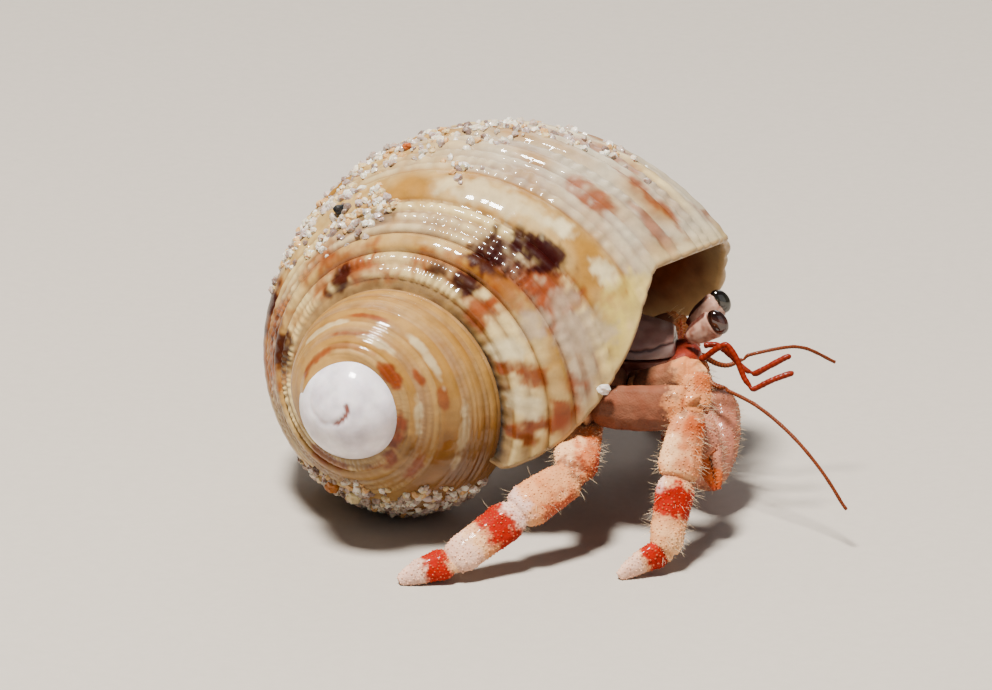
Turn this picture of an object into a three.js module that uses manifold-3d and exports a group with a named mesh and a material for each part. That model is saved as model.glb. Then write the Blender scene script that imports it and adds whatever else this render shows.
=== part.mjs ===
// A strawberry land hermit crab walking in a turban shell, life size.
// Millimetres, +Z up. The crab heads along +X and its right side faces -Y.
// The origin is the middle of the footprint, on the ground.
import * as THREE from 'three';
import { mergeVertices } from 'three/addons/utils/BufferGeometryUtils.js';
import Module from 'manifold-3d';

const wasm = await Module();
wasm.setup();

// ---------- driving dimensions ----------

// The shell: a section carried round a leaning axis, growing by one factor in every turn.
const SHELL_GROWTH_PER_TURN = 2.43;
const SHELL_APEX = [-11.25, -1.4, -3.9];
const SHELL_TURNED = [-97.3, 29.6, 65.5]; // degrees about x, then y, then z
const SECTION_RADIUS_FROM_AXIS = 7.5;
const SECTION_BELOW_APEX = 22.0;
const SECTION_HALF_WIDTH = 9.8;
const SECTION_HALF_LENGTH = 14.3;
const SECTION_LEAN = -34.7; // degrees
const SECTION_START_ANGLE = 306.5; // degrees round the axis, at turn 0
const COLUMELLA_RADIUS = 1.3;
const COLUMELLA_LENGTH = 26.4;
const WORN_APEX = { below: 1.75, radius: 2.75, height: 2.65, slope: 0.2 };
const WALL = 0.85;
const SECTION_SIDES = 28;
const APEX_TURN = -2.6;
const CAVITY_TURN = -0.78;

// The lip of the mouth, as turns of growth: furthest back round the outside, furthest on at the suture.
const LIP_BACK_TURN = -0.105;
const LIP_ADVANCE = 0.176;
const SUTURE_ANGLE = 321;
const LIP_OUTER_START = 20;
const LIP_OUTER_END = 75;
const LIP_SWEEP_POWER = 1.3;
// Its far side reaches on past that even sweep by this many turns, rising and falling over these angles.
const LIP_FAR_REACH = 0.026;
const LIP_FAR_RISE = [88, 124];
const LIP_FAR_FALL = [140, 210];

// The crab.
const GROUND = -14.9;
const JOINT_GAP = 0.08;
const SLIVER = 0.02;
const LEG_SIDES = 10;
const LEG_RINGS = 6;
const FEELER_SIDES = 6;
const HIND_LEG_SIDES = 7;

// ---------- small helpers ----------

const vec = ([x, y, z]) => new THREE.Vector3(x, y, z);
const degrees = THREE.MathUtils.degToRad;
const mix = THREE.MathUtils.lerp;
const group = new THREE.Group();

/** A named mesh of one finish, added to the model. */
function addNode(name, geometry, { color, roughness, metalness = 0 }) {
  const mesh = new THREE.Mesh(geometry, new THREE.MeshStandardMaterial({ color, roughness, metalness }));
  mesh.name = name;
  group.add(mesh);
  return mesh;
}

/** A mesh as a solid that can be joined and cut. */
function toSolid(geometry) {
  const bare = geometry.clone();
  bare.deleteAttribute('normal');
  bare.deleteAttribute('uv');
  const merged = mergeVertices(bare, 1e-5);
  return new wasm.Manifold(new wasm.Mesh({
    numProp: 3,
    vertProperties: new Float32Array(merged.attributes.position.array),
    triVerts: new Uint32Array(merged.index.array),
  }));
}

/** A joined or cut solid as a mesh. */
function toGeometry(solid) {
  const { vertProperties, triVerts } = solid.getMesh();
  const geometry = new THREE.BufferGeometry();
  geometry.setAttribute('position', new THREE.BufferAttribute(vertProperties, 3));
  geometry.setIndex(new THREE.BufferAttribute(triVerts, 1));
  geometry.computeVertexNormals();
  return geometry;
}

/** Six times the volume that a closed list of triangles holds, negative where they face inwards. */
function signedVolume(points, index) {
  let sum = 0;
  for (let corner = 0; corner < index.length; corner += 3) {
    const [a, b, c] = [points[index[corner]], points[index[corner + 1]], points[index[corner + 2]]];
    sum += a.dot(new THREE.Vector3().crossVectors(b, c));
  }
  return sum;
}

/** A direction made square to another, with length 1. */
const squared = (way, other) => way.clone().addScaledVector(other, -way.dot(other)).normalize();

/** The shape of a node that is already made. */
const shapeOf = (name) => group.getObjectByName(name).geometry;

/** A closed body through rings of points, each end closed by a fan round its middle. */
function loft(rings) {
  const sides = rings[0].length;
  const points = rings.flat();
  const middle = (ring) => ring.reduce((sum, p) => sum.add(p), new THREE.Vector3()).divideScalar(sides);
  const first = points.length;
  const last = first + 1;
  points.push(middle(rings[0]), middle(rings.at(-1)));
  const index = [];
  for (let ring = 0; ring < rings.length - 1; ring += 1) {
    for (let side = 0; side < sides; side += 1) {
      const next = (side + 1) % sides;
      const [a, b] = [ring * sides + side, ring * sides + next];
      const [c, d] = [a + sides, b + sides];
      index.push(a, b, d, a, d, c);
    }
  }
  const top = (rings.length - 1) * sides;
  for (let side = 0; side < sides; side += 1) {
    const next = (side + 1) % sides;
    index.push(first, next, side, last, top + side, top + next);
  }
  if (signedVolume(points, index) < 0) index.reverse();
  const geometry = new THREE.BufferGeometry();
  geometry.setAttribute('position', new THREE.Float32BufferAttribute(points.flatMap((p) => p.toArray()), 3));
  geometry.setIndex(index);
  geometry.computeVertexNormals();
  return geometry;
}

/** A block that fills everything on the far side of a plane. */
function halfSpace(point, normal) {
  const size = 120;
  const block = new THREE.BoxGeometry(size, size, size);
  block.translate(0, 0, size / 2);
  const turn = new THREE.Quaternion().setFromUnitVectors(new THREE.Vector3(0, 0, 1), vec(normal).normalize());
  block.applyQuaternion(turn);
  block.translate(...point);
  return toSolid(block);
}

/** The biggest of the separate pieces of a solid, without the slivers that a cut leaves. */
function biggestPiece(solid) {
  const pieces = solid.simplify(SLIVER).decompose();
  return pieces.reduce((best, piece) => (piece.volume() > best.volume() ? piece : best));
}

/** A body cut clear of its neighbours, each of them swelled by a small gap about its own middle. */
function clearOf(geometry, ...neighbours) {
  let solid = toSolid(geometry);
  for (const neighbour of neighbours) {
    const swelled = neighbour.clone();
    swelled.computeBoundingBox();
    const middle = swelled.boundingBox.getCenter(new THREE.Vector3());
    const size = swelled.boundingBox.getSize(new THREE.Vector3());
    swelled.translate(-middle.x, -middle.y, -middle.z);
    swelled.scale(1 + JOINT_GAP / size.x, 1 + JOINT_GAP / size.y, 1 + JOINT_GAP / size.z);
    swelled.translate(middle.x, middle.y, middle.z);
    solid = solid.subtract(toSolid(swelled));
  }
  return toGeometry(biggestPiece(solid));
}

const belowGround = halfSpace([0, 0, GROUND], [0, 0, -1]);

/** The same body with a small flat where it stands on the ground. */
function stoodOnGround(geometry) {
  return toGeometry(biggestPiece(toSolid(geometry).subtract(belowGround)));
}

/**
 * A body swept along a curve with an oval section.
 * halfWide and halfThin give its half sizes at a fraction of the way; thinWay is the thin direction.
 * startFace and endFace are the directions that its two end faces look along, for mitred joints.
 */
function sweep(curve, shape) {
  const { halfWide, halfThin, thinWay, startFace, endFace, rings = LEG_RINGS, sides = LEG_SIDES } = shape;
  const made = [];
  for (let ring = 0; ring < rings; ring += 1) {
    const along = ring / (rings - 1);
    const centre = curve.getPointAt(along);
    const tangent = curve.getTangentAt(along);
    const thin = squared(vec(thinWay), tangent);
    const wide = new THREE.Vector3().crossVectors(thin, tangent);
    const points = [];
    for (let side = 0; side < sides; side += 1) {
      const angle = (2 * Math.PI * side) / sides;
      const offset = wide.clone().multiplyScalar(halfWide(along) * Math.cos(angle))
        .addScaledVector(thin, halfThin(along) * Math.sin(angle));
      const slant = (face) => (face ? -offset.dot(face) / tangent.dot(face) : 0);
      const shift = slant(startFace) * (1 - along) + slant(endFace) * along;
      points.push(centre.clone().add(offset).addScaledVector(tangent, shift));
    }
    made.push(points);
  }
  return loft(made);
}

/** A straight or bowed line between two joints, a small gap short of each. */
function span(from, to, bow = [0, 0, 0]) {
  const [start, end] = [vec(from), vec(to)];
  const way = end.clone().sub(start).normalize();
  start.addScaledVector(way, JOINT_GAP / 2);
  end.addScaledVector(way, -JOINT_GAP / 2);
  const middle = start.clone().lerp(end, 0.5).add(vec(bow));
  return new THREE.QuadraticBezierCurve3(start, middle, end);
}

/** A size that runs from one value to another with a swelling between, drawn in at both ends. */
function swelling(from, to, swell, neck = 0.82) {
  return (along) => {
    const edge = Math.min(along, 1 - along) / 0.16;
    const rounding = edge < 1 ? mix(neck, 1, Math.sqrt(edge)) : 1;
    return (mix(from, to, along) + swell * Math.sin(Math.PI * along)) * rounding;
  };
}

// ---------- finishes ----------

const FINISH = {
  shell: { color: 0xc9a878, roughness: 0.25 },
  carapace: { color: 0xb9a09a, roughness: 0.4 },
  abdomen: { color: 0xb98672, roughness: 0.5 },
  leg: { color: 0xdba184, roughness: 0.4 },
  claw: { color: 0xd98f66, roughness: 0.45 },
  eyestalk: { color: 0xe9dcd6, roughness: 0.3 },
  cornea: { color: 0x3a2218, roughness: 0.08 },
  feeler: { color: 0xc84a1c, roughness: 0.35 },
};

// ---------- shell ----------

/** How much bigger the section is at a turn than at turn 0. */
const growth = (turn) => SHELL_GROWTH_PER_TURN ** turn;

/** A point of the section at turn 0: how far from the axis, and how far below the apex. */
function sectionPoint(angle, inset) {
  const across = (SECTION_HALF_WIDTH - inset) * Math.cos(angle);
  const down = (SECTION_HALF_LENGTH - inset) * Math.sin(angle);
  const lean = degrees(SECTION_LEAN);
  const radius = SECTION_RADIUS_FROM_AXIS + across * Math.cos(lean) - down * Math.sin(lean);
  const below = SECTION_BELOW_APEX + across * Math.sin(lean) + down * Math.cos(lean);
  return [Math.max(radius, COLUMELLA_RADIUS * 0.94 + inset), below];
}

/** A point of the section carried round to a turn, in the shell's own frame, base along +Z. */
function whorlPoint(turn, angle, inset) {
  const [radius, below] = sectionPoint(angle, inset);
  const round = degrees(SECTION_START_ANGLE + 360 * turn);
  const point = new THREE.Vector3(radius * Math.cos(round), radius * Math.sin(round), below);
  return point.multiplyScalar(growth(turn));
}

/** How much further on the far side of the lip ends, in turns, at an angle round the section. */
function farReach(angle) {
  const rise = THREE.MathUtils.smoothstep(angle, ...LIP_FAR_RISE);
  const fall = THREE.MathUtils.smoothstep(angle, ...LIP_FAR_FALL);
  return LIP_FAR_REACH * rise * (1 - fall);
}

/** The turn at which the lip ends growth at an angle round the section, in degrees. */
function lipTurn(angle) {
  const fromSuture = angle > SUTURE_ANGLE ? 360 - angle : -angle;
  if (angle >= LIP_OUTER_START && angle <= LIP_OUTER_END) return LIP_BACK_TURN;
  if (angle > LIP_OUTER_END && angle <= SUTURE_ANGLE) {
    const share = (angle - LIP_OUTER_END) / (SUTURE_ANGLE - LIP_OUTER_END);
    return LIP_BACK_TURN + LIP_ADVANCE * share + farReach(angle);
  }
  const share = (LIP_OUTER_START + fromSuture) / (LIP_OUTER_START + 360 - SUTURE_ANGLE);
  return LIP_BACK_TURN + LIP_ADVANCE * share ** LIP_SWEEP_POWER;
}

/** A length of whorl between two turns. endAt gives the last turn at each angle round the section. */
function whorl(fromTurn, steps, endAt, inset, sides = SECTION_SIDES) {
  const rings = [];
  for (let step = 0; step <= steps; step += 1) {
    const ring = [];
    for (let side = 0; side < sides; side += 1) {
      const angle = (360 * side) / sides;
      const turn = mix(fromTurn, endAt(angle), step / steps);
      ring.push(whorlPoint(turn, degrees(angle), inset * growth(-turn) ** 0.5));
    }
    rings.push(ring);
  }
  return toSolid(loft(rings));
}

/** The pillar down the middle of the whorls, tapered towards the apex. */
function columella() {
  const tip = 1.0;
  const profile = [
    new THREE.Vector2(0, tip),
    new THREE.Vector2(COLUMELLA_RADIUS * 0.12, tip + 0.05),
    new THREE.Vector2(COLUMELLA_RADIUS, COLUMELLA_LENGTH * 0.355),
    new THREE.Vector2(COLUMELLA_RADIUS, COLUMELLA_LENGTH - 2.2),
    new THREE.Vector2(COLUMELLA_RADIUS * 0.86, COLUMELLA_LENGTH - 0.9),
    new THREE.Vector2(COLUMELLA_RADIUS * 0.5, COLUMELLA_LENGTH - 0.2),
    new THREE.Vector2(0, COLUMELLA_LENGTH),
  ];
  const pillar = new THREE.LatheGeometry(profile, 12);
  pillar.rotateX(Math.PI / 2);
  return toSolid(pillar);
}

/** The smooth dome that wear has left over the first whorls. */
function apexDome() {
  const dome = new THREE.SphereGeometry(1, 14, 8);
  dome.scale(WORN_APEX.radius, WORN_APEX.height, WORN_APEX.radius);
  dome.rotateX(Math.PI / 2);
  dome.translate(0, 0, WORN_APEX.below + WORN_APEX.height);
  return toSolid(dome);
}

/** Everything above the worn apex: a bowl upside down, whose floor falls away from the axis. */
function aboveApex() {
  const reach = 3.6;
  const lift = -4;
  const floorAt = (radius) => new THREE.Vector2(radius, WORN_APEX.below + WORN_APEX.slope * radius ** 2);
  const profile = [
    new THREE.Vector2(0, lift),
    new THREE.Vector2(reach, lift),
    floorAt(reach),
    floorAt(reach * 0.7),
    floorAt(reach * 0.4),
    floorAt(0),
  ];
  const bowl = new THREE.LatheGeometry(profile, 18);
  bowl.rotateX(Math.PI / 2);
  return toSolid(bowl);
}

/** The whole shell: whorls joined round the columella, hollow from the mouth inwards. */
function buildShell() {
  const older = [
    whorl(APEX_TURN, 5, () => -2.1, 0, SECTION_SIDES / 2),
    whorl(-2.1, 6, () => -1.6, 0, SECTION_SIDES / 2),
    whorl(-1.6, 7, () => -1.1, 0),
    whorl(-1.1, 6, () => -0.8, 0),
  ].reduce((joined, length) => joined.add(length), columella());
  const middle = whorl(-0.8, 8, () => -0.45, 0);
  const last = whorl(-0.45, 9, lipTurn, 0);
  const cavity = whorl(CAVITY_TURN, 12, (angle) => lipTurn(angle) + 0.12, WALL);
  const carved = older.add(middle).add(last).subtract(cavity.subtract(older));
  return biggestPiece(carved.subtract(aboveApex()).add(apexDome()));
}

const shellPlacing = new THREE.Matrix4().compose(
  vec(SHELL_APEX),
  new THREE.Quaternion().setFromEuler(new THREE.Euler(...SHELL_TURNED.map(degrees), 'XYZ')),
  new THREE.Vector3(1, 1, 1),
);

const shellGeometry = toGeometry(buildShell());
shellGeometry.applyMatrix4(shellPlacing);
addNode('shell', stoodOnGround(shellGeometry), FINISH.shell);

// ---------- body ----------

/** The middle of the cavity at a turn, in the model's frame. */
function cavityCentre(turn) {
  const round = degrees(SECTION_START_ANGLE + 360 * turn);
  return new THREE.Vector3(
    SECTION_RADIUS_FROM_AXIS * Math.cos(round),
    SECTION_RADIUS_FROM_AXIS * Math.sin(round),
    SECTION_BELOW_APEX,
  ).multiplyScalar(growth(turn)).applyMatrix4(shellPlacing);
}

/** The soft tail, coiled up the cavity in three lengths. */
function addAbdomen() {
  const lengths = [
    { name: 'abdomen_front', from: -0.2, to: -0.36, radii: [3.0, 3.1] },
    { name: 'abdomen_middle', from: -0.37, to: -0.53, radii: [3.0, 2.4] },
    { name: 'abdomen_tip', from: -0.54, to: -0.7, radii: [2.3, 1.1] },
  ];
  let ahead = shapeOf('carapace_rear');
  for (const { name, from, to, radii } of lengths) {
    const stops = [0, 0.25, 0.5, 0.75, 1].map((share) => cavityCentre(mix(from, to, share)));
    const curve = new THREE.CatmullRomCurve3(stops);
    const size = swelling(radii[0], radii[1], 0.15, 0.9);
    const body = sweep(curve, { halfWide: size, halfThin: size, thinWay: [0.2, -0.9, 0.2], rings: 7 });
    const fitted = clearOf(body, ahead);
    addNode(name, fitted, FINISH.abdomen);
    ahead = body;
  }
}

const BODY_LINE = [
  [11.9, 11.9, -4.3],
  [9.4, 12.1, -4.6],
  [6.4, 12.6, -4.6],
  [3.4, 13.2, -3.1],
  [1.5, 13.5, -1.2],
];

/** The front of the body, parted into the shield on top, the chest below and the rear of the carapace. */
function addTrunk() {
  const line = new THREE.CatmullRomCurve3(BODY_LINE.map(vec));
  const across = (along) => 3.0 - 1.5 * (1 - Math.min(along / 0.3, 1)) ** 2 - 0.3 * along;
  const deep = (along) => 2.0 - 0.9 * (1 - Math.min(along / 0.35, 1)) ** 2 + 0.5 * along;
  const whole = toSolid(sweep(line, {
    halfWide: across, halfThin: deep, thinWay: [0, 0, 1], rings: 11, sides: 14,
  }));
  const gap = JOINT_GAP / 2;
  const rearward = [-1, 0.1, 0.35];
  const waist = [5.6, 12.8, -4.3];
  const shift = (distance) => waist.map((value, axis) => value + rearward[axis] * distance);
  const front = whole.subtract(halfSpace(shift(-gap), rearward));
  const rear = whole.subtract(halfSpace(shift(gap), rearward.map((value) => -value)));
  const flank = [9, 12.2, -4.75];
  const up = [0.08, 0, 1];
  const shield = front.subtract(halfSpace([flank[0], flank[1], flank[2] + gap], up.map((value) => -value)));
  const chest = front.subtract(halfSpace([flank[0], flank[1], flank[2] - gap], up));
  addNode('carapace_shield', toGeometry(biggestPiece(shield)), FINISH.carapace);
  addNode('chest', toGeometry(biggestPiece(chest)), FINISH.carapace);
  addNode('carapace_rear', toGeometry(biggestPiece(rear)), FINISH.carapace);
}

addTrunk();
addAbdomen();

// ---------- legs ----------

/** The directions between the joints of a limb, and of the mitred face where two lengths meet. */
function jointWays(joints) {
  const ways = joints.slice(1).map((joint, k) => vec(joint).sub(vec(joints[k])).normalize());
  const mitre = (k) => ways[k].clone().add(ways[k + 1]).normalize();
  return { ways, mitre };
}

/**
 * One walking leg: base, merus, carpus, propodus and dactyl.
 * joints are the six points that they run between, and halfWide the half size of each across the flat.
 */
function addLeg(name, { joints, thinWay, halfWide, flatness = 0.58, toeBow = [0, 0, 0.25] }) {
  const parts = ['base', 'merus', 'carpus', 'propodus', 'dactyl'];
  const { mitre } = jointWays(joints);
  parts.forEach((part, k) => {
    const toe = part === 'dactyl';
    const curve = span(joints[k], joints[k + 1], toe ? toeBow : [0, 0, 0]);
    const [from, to, swell] = halfWide[part];
    const wide = swelling(from, to, swell, toe ? 0.9 : 0.82);
    const body = sweep(curve, {
      halfWide: wide,
      halfThin: (along) => wide(along) * mix(flatness, toe ? 0.85 : flatness, along),
      thinWay,
      rings: part === 'base' ? 4 : LEG_RINGS,
      startFace: k > 0 ? mitre(k - 1) : undefined,
      endFace: toe ? undefined : mitre(k),
    });
    addNode(`${name}_${part}`, toe ? stoodOnGround(body) : body, FINISH.leg);
  });
}

const FRONT_LEG = {
  base: [0.75, 0.8, 0.1],
  merus: [1.15, 1.35, 0.3],
  carpus: [1.1, 1.4, 0.15],
  propodus: [1.3, 0.98, 0.12],
  dactyl: [0.88, 0.36, 0.14],
};

const REAR_LEG = {
  base: [0.75, 0.8, 0.1],
  merus: [1.15, 1.3, 0.2],
  carpus: [1.05, 1.28, 0.28],
  propodus: [1.25, 1.0, 0.15],
  dactyl: [0.95, 0.42, 0.2],
};

addLeg('leg2_right', {
  joints: [[8.1, 9.5, -6.0], [6.4, 5.4, -6.2], [12.4, 3.4, -5.9], [11.8, 1.0, -9.5], [10.8, -1.5, -13.5],
    [8.0, -2.6, -14.79]],
  thinWay: [0.35, -0.93, 0.1],
  halfWide: FRONT_LEG,
});
addLeg('leg3_right', {
  joints: [[5.6, 10.3, -6.6], [6.1, 8.5, -7.2], [5.2, 1.5, -9.4], [1.7, -0.9, -11.1], [-2.5, -2.9, -13.6],
    [-5.8, -3.4, -14.75]],
  thinWay: [0.1, -0.8, 0.6],
  halfWide: REAR_LEG,
});
addLeg('leg2_left', {
  joints: [[7.6, 15.0, -6.2], [7.9, 16.6, -6.6], [12.2, 19.1, -6.3], [12.6, 21.6, -9.8], [12.2, 23.6, -13.5],
    [10.4, 24.7, -14.81]],
  thinWay: [0.2, 0.95, 0.1],
  halfWide: FRONT_LEG,
});
addLeg('leg3_left', {
  joints: [[5.2, 15.0, -6.2], [5.0, 17.0, -7.2], [5.2, 21.4, -9.2], [4.4, 24.4, -11.6], [2.4, 26.6, -13.7],
    [0.4, 27.8, -14.76]],
  thinWay: [0.7, 0.5, 0.5],
  halfWide: REAR_LEG,
});

// ---------- claws ----------

/** One finger of a claw, on one side (-1 or 1) of its middle line. */
function clawFinger(side, { knuckle, tip, way, broad, thin }, { palmHalf, palmHalfThin, fingerHalf }) {
  const aside = (point, distance) => point.clone().addScaledVector(broad, distance * side);
  const root = aside(knuckle, palmHalf * 0.45).addScaledVector(way, -palmHalf * 0.35);
  const end = aside(tip, fingerHalf * 0.22);
  const middle = aside(root.clone().lerp(end, 0.55), palmHalf * 0.2);
  return sweep(new THREE.QuadraticBezierCurve3(root, middle, end), {
    halfWide: (along) => fingerHalf * (1 - 0.72 * along ** 1.6),
    halfThin: (along) => palmHalfThin * 0.8 * (1 - 0.6 * along ** 1.4),
    thinWay: thin.toArray(),
    rings: 7,
  });
}

/** The palm of a claw, up to the knuckle line that its fingers spring from. */
function clawPalm(wrist, startFace, { knuckle, way, thin }, { palmHalf, palmHalfThin }) {
  const start = wrist.clone().addScaledVector(way, JOINT_GAP / 2);
  return sweep(new THREE.LineCurve3(start, knuckle), {
    halfWide: swelling(palmHalf * 0.72, palmHalf * 0.86, palmHalf * 0.22, 0.86),
    halfThin: (along) => palmHalfThin * (0.8 + 0.3 * Math.sin(Math.PI * along) - 0.1 * along),
    thinWay: thin.toArray(),
    rings: 6,
    sides: 12,
    startFace,
  });
}

/**
 * One claw-bearing leg: base, merus, carpus, palm with its fixed finger, and the finger that moves on it.
 * joints are the shoulder, hip, elbow, wrist and fingertip.
 */
function addCheliped(name, limb) {
  const { joints, thinWay, clawThinWay, halfWide, palmShare } = limb;
  const { ways, mitre } = jointWays(joints);
  for (const [k, part] of ['base', 'merus', 'carpus'].entries()) {
    const wide = swelling(...halfWide[part]);
    addNode(`${name}_${part}`, sweep(span(joints[k], joints[k + 1]), {
      halfWide: wide,
      halfThin: (along) => wide(along) * 0.75,
      thinWay,
      rings: part === 'base' ? 4 : LEG_RINGS,
      startFace: k > 0 ? mitre(k - 1) : undefined,
      endFace: mitre(k),
    }), FINISH.claw);
  }
  const [wrist, tip, way] = [vec(joints[3]), vec(joints[4]), ways[3]];
  const thin = squared(vec(clawThinWay), way);
  const broad = new THREE.Vector3().crossVectors(thin, way);
  const claw = { knuckle: wrist.clone().lerp(tip, palmShare), tip, way, broad, thin };
  const palm = toSolid(clawPalm(wrist, mitre(2), claw, limb));
  const grip = toGeometry(biggestPiece(palm.add(toSolid(clawFinger(-1, claw, limb)))));
  addNode(`${name}_palm`, grip, FINISH.claw);
  addNode(`${name}_finger`, clearOf(clawFinger(1, claw, limb), grip), FINISH.claw);
}

addCheliped('cheliped_right', {
  joints: [[9.9, 9.6, -6.0], [9.3, 8.3, -6.0], [12.8, 6.9, -4.7], [13.2, 5.3, -6.9], [14.3, 3.3, -11.2]],
  thinWay: [0.3, -0.9, 0.3],
  clawThinWay: [0.3, -0.9, 0.2],
  halfWide: { base: [0.75, 0.8, 0.1], merus: [0.85, 1.05, 0.15], carpus: [1.0, 0.8, 0.2] },
  palmShare: 0.52,
  palmHalf: 1.05,
  palmHalfThin: 0.75,
  fingerHalf: 0.5,
});
addCheliped('cheliped_left', {
  joints: [[9.6, 13.6, -6.9], [10.0, 14.2, -8.0], [12.6, 16.0, -7.6], [13.2, 13.6, -9.1], [14.3, 8.0, -12.5]],
  thinWay: [0.4, 0.3, 0.9],
  clawThinWay: [0.71, 0.1, -0.69],
  halfWide: { base: [0.9, 1.0, 0.1], merus: [1.0, 1.3, 0.15], carpus: [1.35, 1.7, 0.2] },
  palmShare: 0.56,
  palmHalf: 3.1,
  palmHalfThin: 1.7,
  fingerHalf: 1.5,
});

// ---------- small hind legs, which brace the crab inside the shell ----------

const HIND_LEGS = {
  leg4_right: { path: [[4.4, 10.0, -4.7], [4.0, 8.3, -4.9], [5.2, 7.2, -3.9]], half: 0.55 },
  leg4_left: { path: [[4.4, 15.6, -4.2], [4.0, 17.3, -4.3], [5.2, 18.4, -3.3]], half: 0.55 },
  leg5_right: { path: [[2.3, 11.1, -2.6], [1.9, 9.4, -2.6], [2.7, 8.3, -2.0]], half: 0.45 },
  leg5_left: { path: [[2.3, 15.9, -1.6], [1.9, 17.3, -1.7], [2.7, 18.3, -1.2]], half: 0.45 },
};

for (const [name, { path, half }] of Object.entries(HIND_LEGS)) {
  const size = (along) => half * (1 - 0.3 * along);
  const limb = sweep(new THREE.QuadraticBezierCurve3(...path.map(vec)), {
    halfWide: size, halfThin: size, thinWay: [0, 0.4, 0.9], sides: HIND_LEG_SIDES, rings: 5,
  });
  addNode(name, clearOf(limb, shapeOf('carapace_rear')), FINISH.leg);
}

// ---------- head ----------

/** An egg-shaped body with its long way, broad way and half sizes. */
function egg({ centre, longWay, thinWay, half }) {
  const long = vec(longWay).normalize();
  const thin = squared(vec(thinWay), long);
  const broad = new THREE.Vector3().crossVectors(thin, long);
  const shape = new THREE.SphereGeometry(1, 12, 8);
  shape.scale(...half);
  shape.applyMatrix4(new THREE.Matrix4().makeBasis(long, broad, thin));
  shape.translate(...centre);
  return shape;
}

const headFront = egg({
  centre: [12.35, 11.8, -5.1],
  longWay: [1, -0.05, -0.1],
  thinWay: [0, 0, 1],
  half: [1.2, 1.9, 0.75],
});
const trunk = ['carapace_shield', 'chest'].map(shapeOf);
addNode('head_front', clearOf(headFront, ...trunk), FINISH.carapace);

const EYE_HALF = [0.62, 0.88, 0.5];
const EYE_SET_BACK = 0.35;
const EYE_SET_OUT = 0.14;
const EYES = {
  right: { root: [12.3, 10.8, -3.9], tip: [14.75, 10.2, -2.15], outward: [0.1, -1, 0.15] },
  left: { root: [12.5, 12.7, -3.6], tip: [15.0, 13.1, -1.85], outward: [0.1, 1, 0.15] },
};

for (const [side, { root, tip, outward }] of Object.entries(EYES)) {
  const way = vec(tip).sub(vec(root)).normalize();
  const centre = vec(tip).addScaledVector(way, -EYE_SET_BACK).addScaledVector(vec(outward), EYE_SET_OUT);
  const eye = egg({ centre: centre.toArray(), longWay: way.toArray(), thinWay: outward, half: EYE_HALF });
  const stalk = sweep(new THREE.LineCurve3(vec(root), vec(tip)), {
    halfWide: (along) => 0.6 + 0.36 * Math.sin(1.7 * along) - 0.4 * Math.max(along - 0.8, 0) / 0.2,
    halfThin: (along) => 0.42 + 0.1 * Math.sin(2.2 * along) - 0.3 * Math.max(along - 0.75, 0) / 0.25,
    thinWay: outward,
    rings: 9,
  });
  addNode(`eye_${side}`, eye, FINISH.cornea);
  addNode(`eyestalk_${side}`, clearOf(stalk, eye, headFront, ...trunk), FINISH.eyestalk);
}

/** Feelers: a jointed stem and a long whip for each, as the points that it passes through. */
const FEELERS = {
  antennule_stem_right: {
    path: [[13.4, 9.9, -4.9], [14.4, 9.5, -3.9], [15.2, 9.3, -3.5], [15.7, 8.9, -4.5], [16.4, 8.1, -6.1]],
    half: [0.32, 0.27],
  },
  antennule_whip_right: {
    path: [[16.55, 8.0, -6.25], [17.9, 8.0, -5.5], [19.3, 8.1, -5.0]],
    half: [0.32, 0.3],
  },
  antennule_stem_left: {
    path: [[13.6, 11.7, -4.5], [14.5, 11.6, -4.4], [15.3, 11.4, -5.0], [16.6, 10.8, -6.1]],
    half: [0.32, 0.27],
  },
  antennule_whip_left: {
    path: [[16.75, 10.75, -6.2], [17.9, 10.7, -5.5], [19.2, 10.8, -4.8]],
    half: [0.32, 0.3],
  },
  antenna_stem_right: {
    path: [[13.1, 10.3, -5.6], [14.0, 9.4, -6.2], [14.9, 8.6, -6.3]],
    half: [0.5, 0.36],
  },
  antenna_whip_right: {
    path: [[15.0, 8.4, -6.3], [16.9, 6.6, -6.7], [19.2, 4.9, -8.2], [21.2, 3.4, -10.3], [22.6, 2.3, -12.4]],
    half: [0.28, 0.25],
  },
  antenna_stem_left: {
    path: [[13.4, 12.9, -5.4], [14.4, 13.1, -6.2], [15.4, 13.2, -6.4], [16.2, 13.3, -5.9]],
    half: [0.45, 0.32],
  },
  antenna_whip_left: {
    path: [[16.35, 13.3, -5.8], [18.0, 13.6, -5.5], [20.0, 14.2, -5.5], [22.4, 14.9, -6.9]],
    half: [0.27, 0.25],
  },
};

for (const [name, { path, half }] of Object.entries(FEELERS)) {
  const size = (along) => mix(half[0], half[1], along);
  const curve = new THREE.CatmullRomCurve3(path.map(vec), false, 'centripetal');
  const feeler = sweep(curve, {
    halfWide: size,
    halfThin: size,
    thinWay: [0.1, 1, 0.1],
    rings: path.length * 2 + 1,
    sides: FEELER_SIDES,
  });
  const stem = name.includes('whip') ? [shapeOf(name.replace('whip', 'stem'))] : [];
  addNode(name, clearOf(feeler, headFront, ...stem), FINISH.feeler);
}

/** The feet of the mouth, folded down in front of the chest at each side of the middle. */
for (const [side, y] of [['right', 10.9], ['left', 12.7]]) {
  const bend = [[11.9, y, -6.6], [13.2, y, -6.9], [13.5, y, -8.0]];
  const jaw = new THREE.QuadraticBezierCurve3(...bend.map(vec));
  const size = (along) => 0.55 * (1 - 0.25 * along);
  const limb = sweep(jaw, { halfWide: size, halfThin: size, thinWay: [0, 1, 0], sides: 8 });
  const fitted = clearOf(limb, headFront, ...trunk, shapeOf('cheliped_left_palm'));
  addNode(`mouthpart_${side}`, fitted, FINISH.carapace);
}

// The origin goes to the middle of the footprint, on the ground.
const box = new THREE.Box3().setFromObject(group, true);
group.position.set(-(box.min.x + box.max.x) / 2, -(box.min.y + box.max.y) / 2, -GROUND);

export default group;
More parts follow.
